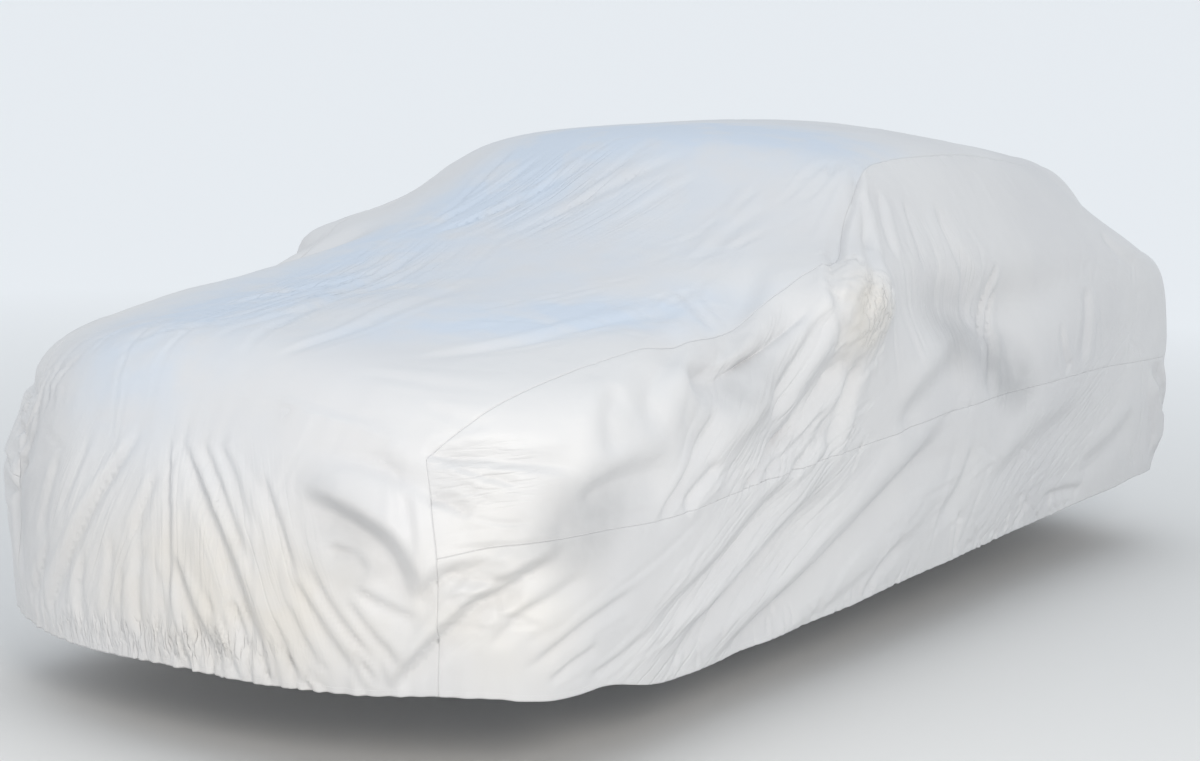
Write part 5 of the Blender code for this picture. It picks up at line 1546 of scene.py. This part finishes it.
def coating_and_painted_light_group():
    """Silver that drifts in tone, tinted where told with cream, painted light and painted shade."""
    group, source, target = node_group(
        "silver_coating_and_painted_light",
        (("Vector", "Vector", None),) + tuple((label, "Float", 0.0) for label in TINTS),
        (("Color", "Color"), ("Roughness", "Float")))
    drift, speckle = (
        add_node(group, "ShaderNodeTexNoise", Vector=source["Vector"], **noise).outputs["Fac"]
        for noise in (DRIFT_NOISE, SPECKLE_NOISE))
    colour = graded(group, drift, ((SILVER_AT, SILVER), (PALE_AT, PALE)))
    patchy = ranged(group, speckle, SPECKLE, SPECKLE_SHARE)
    for label, tint in TINTS.items():
        share = calculated(group, "MULTIPLY", source[label], patchy)
        share.node.use_clamp = True
        colour = mixed(group, share, colour, tint)
    group.links.new(colour, target["Color"])
    group.links.new(ranged(group, speckle, (0.0, 1.0), ROUGHNESS), target["Roughness"])
    return group


coating = coating_and_painted_light_group()
print("tints:", list(TINTS))

# %% Tinted patches
# Painted sky light: bluer patches on the top surfaces, where they face up.
PAINTED_SKY_LIGHT_PATCHES = (
    # place, run, normal, reach along, across and off, strength
    ((0.0, -0.85, 1.18), (0, 1, 0.3), (0, -0.3, 1), (2.2, 0.95, 0.6), 0.55),
    ((-0.34, -1.7, 1.02), (-0.2, 1, 0.1), (0, -0.2, 1), (1.1, 0.45, 0.35), 1.0),
    ((-0.36, -0.66, 1.27), (0.4, 1, 0.5), (0, -0.5, 1), (0.8, 0.38, 0.3), 0.9),
    ((0.47, -1.48, 1.01), (0.55, 1, 0), (0, -0.2, 1), (0.9, 0.24, 0.25), 1.0),
    ((0.14, -0.18, 1.42), (1, 0.1, 0), (0, 0, 1), (0.95, 0.42, 0.2), 1.0),
)
# Cream on the ear; on the low nose and the near corner's lower part, painted warm light bounced from the
# floor.
CREAM_AND_PAINTED_BOUNCE_PATCHES = (
    # the same columns
    ((0.95, -0.72, 1.0), (0, 0, 1), (1, 0, 0), (0.2, 0.18, 0.25), 1.0),
    ((0.2, -2.3, 0.42), (1, 0, 0), (0, -1, 0), (0.75, 0.32, 0.3), 0.9),
    ((0.78, -2.05, 0.5), (0, 0, 1), (0.7, -0.7, 0), (0.34, 0.3, 0.3), 0.6),
)
# Painted shade: greyer patches on the nose, towards its two corners.
PAINTED_SHADE_NOSE = (
    ((0.46, -2.26, 0.6), (0.5, 0, -0.5), (0.2, -1, 0), (0.26, 0.15, 0.3), 0.55),
    ((-0.55, -2.22, 0.6), (0, 0, 1), (-0.3, -1, 0), (0.34, 0.26, 0.3), 0.45),
)
# Painted shade: greyer patches in the hollows of the sides, from the fore quarter to behind the ear.
PAINTED_SHADE_SIDES = (
    ((0.88, -1.93, 0.62), (0, 1, 0.35), (1, -0.3, 0), (0.32, 0.16, 0.25), 0.85),
    ((0.9, -1.2, 0.9), (0, 1, 1), (1, 0, 0), (0.32, 0.15, 0.25), 0.65),
    ((0.86, 0.05, 0.9), (0, 1, -0.4), (1, 0, 0), (0.3, 0.17, 0.25), 0.75),
    ((0.89, 0.36, 0.76), (0, 1, -0.4), (1, 0, 0), (0.28, 0.16, 0.25), 0.95),
)

print("tinted patches:", len(PAINTED_SKY_LIGHT_PATCHES + CREAM_AND_PAINTED_BOUNCE_PATCHES + PAINTED_SHADE_NOSE + PAINTED_SHADE_SIDES))

# %% Patches of fine creases
FRONT, SIDE, TOP, BACK = (0, -1, 0.1), (1, 0, 0), (0, -0.2, 1), (0, 1, 0)
STREAKS = (
    # name, place, run, normal, reach along, across and off, streak length and width, depth
    ("nose far fan", (-0.3, -2.3, 0.5), (-0.45, 0, -1), FRONT, (0.36, 0.3, 0.4), (0.5, 0.034), 0.4),
    ("nose fan", (0.02, -2.3, 0.52), (0.04, 0, -1), FRONT, (0.34, 0.2, 0.4), (0.5, 0.034), 0.4),
    ("nose near fan", (0.26, -2.3, 0.5), (0.38, 0, -1), FRONT, (0.34, 0.22, 0.4), (0.45, 0.036), 0.4),
    ("nose hem", (-0.1, -2.3, 0.27), (0.1, 0, -1), FRONT, (0.07, 0.6, 0.4), (0.08, 0.018), 0.9),
    ("foredeck", (-0.22, -1.5, 1.0), (-0.22, 1, 0.1), TOP, (0.75, 0.42, 0.3), (0.9, 0.036), 0.7),
    ("rake", (-0.1, -0.68, 1.25), (0.28, 1, 0.55), (0, -0.5, 1), (0.42, 0.55, 0.3), (0.8, 0.036), 0.6),
    ("tail", (0.0, 2.05, 0.6), (0.05, 0, -1), BACK, (0.5, 0.9, 0.4), (0.3, 0.036), 0.7),
)
SIDE_STREAKS = (
    # the same columns, on both sides
    ("corner", (0.72, -2.1, 0.74), (0.6, 0.7, 0.1), (0.7, -0.7, 0),
     (0.2, 0.1, 0.3), (0.2, 0.026), 0.5),
    ("side fore", (0.89, -1.1, 0.8), (0, 1, 0.95), SIDE, (0.45, 0.34, 0.3), (0.36, 0.04), 0.7),
    ("skirt fore", (0.88, -1.2, 0.4), (0, 1, 0.52), SIDE, (1.0, 0.28, 0.3), (0.5, 0.04), 0.7),
    ("flank", (0.84, 0.0, 1.02), (0, 0.18, -1), SIDE, (0.34, 0.42, 0.3), (0.3, 0.04), 0.3),
    ("skirt aft", (0.88, 0.7, 0.42), (0, 1, 0.55), SIDE, (1.1, 0.28, 0.3), (0.4, 0.044), 0.5),
    ("ear", (0.93, -0.66, 1.02), (0, 0.3, 1), SIDE, (0.14, 0.14, 0.2), (0.045, 0.026), 1.0),
)
print("patches of fine creases:", len(STREAKS), "on the strip and", len(SIDE_STREAKS), "on each side")

# %% Placing the patches
STREAK_THICKNESS = 0.15              # off the cloth, so that a valley doesn't shift on a bulge
TINT_CORE = 0.1                      # share of its reach inside which a tint is at its full strength


def patch_turn(run, normal):
    """Turn whose x axis is the run and whose z axis is the normal."""
    z = Vector(normal).normalized()
    x = (Vector(run) - z * z.dot(Vector(run))).normalized()
    return Matrix((x, z.cross(x), z)).transposed().to_euler()


def both_sides(tree, position):
    """Places with the right side's turned over on to the left's."""
    split = add_node(tree, "ShaderNodeSeparateXYZ", Vector=position).outputs
    size = calculated(tree, "ABSOLUTE", split["X"])
    return add_node(tree, "ShaderNodeCombineXYZ", X=size, Y=split["Y"], Z=split["Z"]).outputs[0]


def streak_height(tree, position, rows):
    """All the patches of fine creases of one material, added into one height."""
    heights = []
    for name, place, run, normal, reach, (length, width), depth in rows:
        patch = add_node(
            tree, "ShaderNodeGroup", node_tree=streaks, label=name, Vector=position,
            Place=np.array(place) - ORIGIN, Turn=patch_turn(run, normal),
            Streak=(length, width, STREAK_THICKNESS), Reach=reach, Depth=depth)
        heights.append(patch.outputs["Height"])
    return total_of(tree, heights)


def tint_mask(tree, position, rows):
    """Where a tint, painted light or painted shade lies: soft long patches added together."""
    patches = []
    for place, run, normal, reach, strength in rows:
        mapping = add_node(
            tree, "ShaderNodeMapping", vector_type="TEXTURE", Vector=position,
            Location=np.array(place) - ORIGIN, Rotation=patch_turn(run, normal), Scale=reach)
        patches.append(patch_mask(tree, mapping.outputs["Vector"], TINT_CORE, strength))
    return total_of(tree, patches)


level_turn = np.degrees(patch_turn((0, 1, 0), (0, 0, 1)))
print("a level patch that runs along y is turned by", level_turn.round(), "degrees")

# %% The cloth's two materials
METALLIC, SPECULAR = 0.08, 0.35
STREAK_BUMP, CRINKLE_BUMP, WEAVE_BUMP = (1.0, 0.0022), (0.30, 0.004), (0.15, 0.0002)


def cloth_material(name, rows, on_both_sides, tints):
    """Silver coated cloth with its own patches of fine creases, of tint, of painted light and of painted
    shade.
    """
    material, tree, shader, places = new_material(name)
    shader["Metallic"].default_value = METALLIC
    shader["Specular IOR Level"].default_value = SPECULAR
    place = places["Object"]
    masks = {label: tint_mask(tree, place, patches) for label, patches in tints.items()}
    coat, crinkled, woven = (
        add_node(tree, "ShaderNodeGroup", node_tree=group, Vector=vector, **given).outputs
        for group, vector, given in (
            (coating, place, masks), (crinkle, place, {}), (weave, places["UV"], {})))
    tree.links.new(coat["Color"], shader["Base Color"])
    tree.links.new(coat["Roughness"], shader["Roughness"])
    streak_place = both_sides(tree, place) if on_both_sides else place
    normal = bumped(tree, streak_height(tree, streak_place, rows), STREAK_BUMP)
    normal = bumped(tree, crinkled["Height"], CRINKLE_BUMP, Normal=normal)
    normal = bumped(tree, woven["Height"], WEAVE_BUMP, Normal=normal)
    tree.links.new(normal, shader["Normal"])
    return material


# The strip gets painted sky light, the nose's cream with painted bounce light, and painted shade on the
# nose.
strip_tints = {"Blue": PAINTED_SKY_LIGHT_PATCHES, "CreamAndPaintedBounce": CREAM_AND_PAINTED_BOUNCE_PATCHES[1:], "PaintedShade": PAINTED_SHADE_NOSE}
strip_finish = cloth_material("silver_cloth", STREAKS, False, strip_tints)
side_finish = cloth_material(
    "silver_cloth_sides", SIDE_STREAKS, True, {"CreamAndPaintedBounce": CREAM_AND_PAINTED_BOUNCE_PATCHES, "PaintedShade": PAINTED_SHADE_SIDES})
for name, (cloth, _, _) in panels.items():
    cloth.data.materials.append(strip_finish if name == "centre_strip" else side_finish)
print("nodes in the strip's finish:", len(strip_finish.node_tree.nodes))

# %% [markdown]
# ## Stitches along the seams
#
# The panels are sewn with a lockstitch: short threads in a row, just inside each seam and along the
# hem. They repeat along a path, so Geometry Nodes place them: the path becomes a curve, the curve is
# cut at every stitch, and a short round thread is set on each point, in line with the curve. An
# array along a curve would bend the threads with it, and a bump would not stand off the cloth.

# %% Stitch lines
STITCH_STEP, THREAD_LENGTH, THREAD_RADIUS, THREAD_SIDES = 0.0062, 0.0044, 0.00038, 5
THREAD_LIFT = 0.0001
SEAM_ROW = 1                         # grid row that a seam's stitches follow
HEM_STITCH_ROWS = (2, 3)             # the hem's stitches run midway between these


def stitch_lines():
    """Points of every sewn line: inside the strip's edges, above the waist seams, along the hems."""
    low, high = HEM_STITCH_ROWS
    lines = []
    for name, (_, draped, normals) in panels.items():
        sewn = draped + normals * THREAD_LIFT
        if name == "centre_strip":
            lines += [sewn[:, SEAM_ROW], sewn[:, -1 - SEAM_ROW], (sewn[low] + sewn[high]) / 2.0]
        if name.startswith("upper"):
            lines.append(sewn[-1 - SEAM_ROW])
        else:
            lines.append((sewn[-1 - low] + sewn[-1 - high]) / 2.0)
    return lines


def stitch_path():
    """The sewn lines as a mesh of edges."""
    points, edges = [], []
    for line in stitch_lines():
        first = len(points)
        points += [tuple(point) for point in line - ORIGIN]
        edges += [(i, i + 1) for i in range(first, len(points) - 1)]
    mesh = bpy.data.meshes.new("stitches")
    mesh.from_pydata(points, edges, [])
    return add_object("stitch_path", mesh)


print("sewn lines:", len(stitch_lines()))

# %% Geometry Nodes for a row of stitches
STITCH_INPUTS = (
    ("Path", "Geometry"), ("Stitch step", "Float"), ("Thread length", "Float"),
    ("Thread radius", "Float"), ("Thread", "Material"))


def stitch_tree():
    """Geometry Nodes that set a short thread at every stitch of a path."""
    tree = bpy.data.node_groups.new("lockstitch", "GeometryNodeTree")
    new_socket = tree.interface.new_socket
    sockets = {
        label: new_socket(label, in_out="INPUT", socket_type="NodeSocket" + kind).identifier
        for label, kind in STITCH_INPUTS}
    new_socket("Stitches", in_out="OUTPUT", socket_type="NodeSocketGeometry")
    source = tree.nodes.new("NodeGroupInput").outputs
    curve = add_node(tree, "GeometryNodeMeshToCurve", Mesh=source["Path"])
    cut = add_node(
        tree, "GeometryNodeResampleCurve", mode="LENGTH", Curve=curve.outputs["Curve"],
        Length=source["Stitch step"])
    thread = add_node(
        tree, "GeometryNodeMeshCylinder", Vertices=THREAD_SIDES, Depth=source["Thread length"],
        Radius=source["Thread radius"])
    tangent = tree.nodes.new("GeometryNodeInputTangent")
    turn = add_node(
        tree, "FunctionNodeAlignRotationToVector", axis="Z", Vector=tangent.outputs["Tangent"])
    placed = add_node(
        tree, "GeometryNodeInstanceOnPoints", Points=cut.outputs["Curve"],
        Instance=thread.outputs["Mesh"], Rotation=turn.outputs["Rotation"])
    real = add_node(tree, "GeometryNodeRealizeInstances", Geometry=placed.outputs["Instances"])
    finish = add_node(
        tree, "GeometryNodeSetMaterial", Geometry=real.outputs["Geometry"], Material=source["Thread"])
    add_node(tree, "NodeGroupOutput", Stitches=finish.outputs["Geometry"])
    return tree, sockets


print("the stitches' tree takes", len(STITCH_INPUTS), "inputs")

# %% Thread
THREAD_DARK, THREAD_LIGHT = (0.64, 0.64, 0.65, 1.0), (0.78, 0.78, 0.78, 1.0)
THREAD_ROUGHNESS, TWISTS, TWIST_BUMP = 0.55, 900.0, (0.4, 0.0001)


def thread_material():
    """Twisted grey polyester thread."""
    material, tree, shader, places = new_material("sewing_thread")
    shader["Roughness"].default_value = THREAD_ROUGHNESS
    place = places["Object"]
    drift = add_node(tree, "ShaderNodeTexNoise", Vector=place, Scale=60.0, Detail=2.0)
    twist = add_node(
        tree, "ShaderNodeTexWave", bands_direction="DIAGONAL", Vector=place, Scale=TWISTS)
    colour = graded(tree, drift.outputs["Fac"], ((0.0, THREAD_DARK), (1.0, THREAD_LIGHT)))
    tree.links.new(colour, shader["Base Color"])
    tree.links.new(bumped(tree, twist.outputs["Fac"], TWIST_BUMP), shader["Normal"])
    return material


sewing_thread = thread_material()
print("thread is", round(THREAD_RADIUS * 2000.0, 2), "mm thick")


# %% Sewing
def sew():
    """The stitches as one plain mesh."""
    path = stitch_path()
    tree, sockets = stitch_tree()
    modifier = path.modifiers.new("lockstitch", "NODES")
    modifier.node_group = tree
    for label, value in (
            ("Stitch step", STITCH_STEP), ("Thread length", THREAD_LENGTH),
            ("Thread radius", THREAD_RADIUS), ("Thread", sewing_thread)):
        modifier[sockets[label]] = value
    evaluated = path.evaluated_get(bpy.context.evaluated_depsgraph_get())
    mesh = bpy.data.meshes.new_from_object(evaluated)
    path.modifiers.remove(modifier)
    bpy.data.objects.remove(path)
    return add_object("stitches", mesh)


stitches = sew()
stitch_count = len(stitches.data.vertices) // (2 * THREAD_SIDES)
print("stitches:", stitch_count, "triangles:", triangle_count(stitches.data))

# %% [markdown]
# ## A plain stage
#
# The stage is for the picture only. A pale floor that curves up far away shows no horizon, and the
# shade on it shows how high the hem hangs. It is staged, not handed over.

# %% Floor
FLOOR_FLAT, FLOOR_EDGE, FLOOR_RISE = 11.0, 60.0, 6.5
FLOOR_RINGS, FLOOR_SPOKES = 24, 72
FLOOR_NEAR, FLOOR_FAR, FLOOR_FADE = (0.76, 0.755, 0.745, 1.0), (0.96, 0.96, 0.96, 1.0), (3.2, 9.0)
FLOOR_ROUGHNESS = 0.9


def floor_material():
    """Pale matt floor, a little lighter away from the middle."""
    material, tree, shader, places = new_material("pale_floor")
    shader["Roughness"].default_value = FLOOR_ROUGHNESS
    away = add_node(tree, "ShaderNodeVectorMath", operation="LENGTH")
    tree.links.new(places["Object"], away.inputs[0])
    share = ranged(tree, away.outputs["Value"], FLOOR_FADE, (0.0, 1.0))
    tree.links.new(mixed(tree, share, FLOOR_NEAR, FLOOR_FAR), shader["Base Color"])
    return material


def add_floor():
    """A plain pale floor that curves up far away, so that no horizon shows."""
    radius = np.concatenate([[FLOOR_FLAT * 0.5], np.linspace(FLOOR_FLAT, FLOOR_EDGE, FLOOR_RINGS)])
    rise = FLOOR_RISE * (np.clip(radius - FLOOR_FLAT, 0, None) / (FLOOR_EDGE - FLOOR_FLAT)) ** 2
    turn = np.arange(FLOOR_SPOKES) * 2 * np.pi / FLOOR_SPOKES
    ring = np.stack([np.cos(turn), np.sin(turn)], 1)
    points = [(0.0, 0.0, GROUND)]
    for reach, lift in zip(radius, rise):
        points += [(reach * x, reach * y, GROUND + lift) for x, y in ring]
    onward = np.roll(np.arange(FLOOR_SPOKES), -1)
    faces = [(0, 1 + i, 1 + onward[i]) for i in range(FLOOR_SPOKES)]
    for j in range(len(radius) - 1):
        low, high = 1 + j * FLOOR_SPOKES, 1 + (j + 1) * FLOOR_SPOKES
        faces += [(low + i, high + i, high + onward[i], low + onward[i]) for i in range(FLOOR_SPOKES)]
    mesh = bpy.data.meshes.new("floor")
    mesh.from_pydata(points, [], faces)
    mesh.shade_smooth()
    mesh.materials.append(floor_material())
    floor = add_object("floor", mesh)


add_floor()
print("floor", round(-GROUND, 3), "m below the crown")

# %% [markdown]
# ## Lights and surroundings
#
# The picture shows soft light from all round, so most of it comes from pale surroundings that are
# bluer above. One large warm light brings out the near corner and leaves the folds' far sides in
# shade, and a weak one lifts the nose. A sun lamp would throw shadows with hard edges.

# %% Surroundings
HORIZON, ZENITH, WORLD_STRENGTH = (0.70, 0.70, 0.70, 1.0), (0.88, 0.94, 1.0, 1.0), 0.99
HORIZON_AT, ZENITH_AT = 0.05, 0.85


def add_world():
    """Pale surroundings, white low down and bluer above."""
    world = bpy.data.worlds.new("pale_room")
    bpy.context.scene.world = world
    world.use_nodes = True
    tree = world.node_tree
    direction = tree.nodes.new("ShaderNodeTexCoord").outputs["Generated"]
    height = add_node(tree, "ShaderNodeSeparateXYZ", Vector=direction).outputs["Z"]
    colour = graded(tree, height, ((HORIZON_AT, HORIZON), (ZENITH_AT, ZENITH)))
    background = tree.nodes["Background"].inputs
    tree.links.new(colour, background["Color"])
    background["Strength"].default_value = WORLD_STRENGTH


add_world()
print("surroundings:", bpy.context.scene.world.name)

# %% Lights
LIGHTS = (
    # name, place, aim, size, power, colour
    ("key", (4.6, -5.6, 1.5), (0.5, -1.2, -0.6), 1.8, 135.0, (1.0, 0.94, 0.86)),
    ("low front", (-0.5, -6.2, -0.6), (0.0, -2.0, -1.0), 1.4, 12.0, (1.0, 0.88, 0.74)),
)


def add_light(name, place, aim, size, power, colour):
    """A soft round area light that faces a point."""
    data = bpy.data.lights.new(name, "AREA")
    data.shape = "DISK"
    data.size = size
    data.energy = power
    data.color = colour
    light = add_object(name, data)
    light.location = place
    light.rotation_euler = (Vector(aim) - Vector(place)).to_track_quat("-Z", "Y").to_euler()


for row in LIGHTS:
    add_light(*row)
bpy.context.scene.view_settings.view_transform = "Standard"
print("lights:", len(LIGHTS))

# %% [markdown]
# ## Handing the pieces over
#
# Each sheet takes the place of one plain panel of the construction model and rides on its body.
# The stitches ride on the same body.

# %% Hand the pieces to the frame
for name, (cloth, _, _) in panels.items():
    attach(cloth, "root")
    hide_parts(name)
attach(stitches, "root")
print("handed over:", len(panels), "sheets and their stitches")
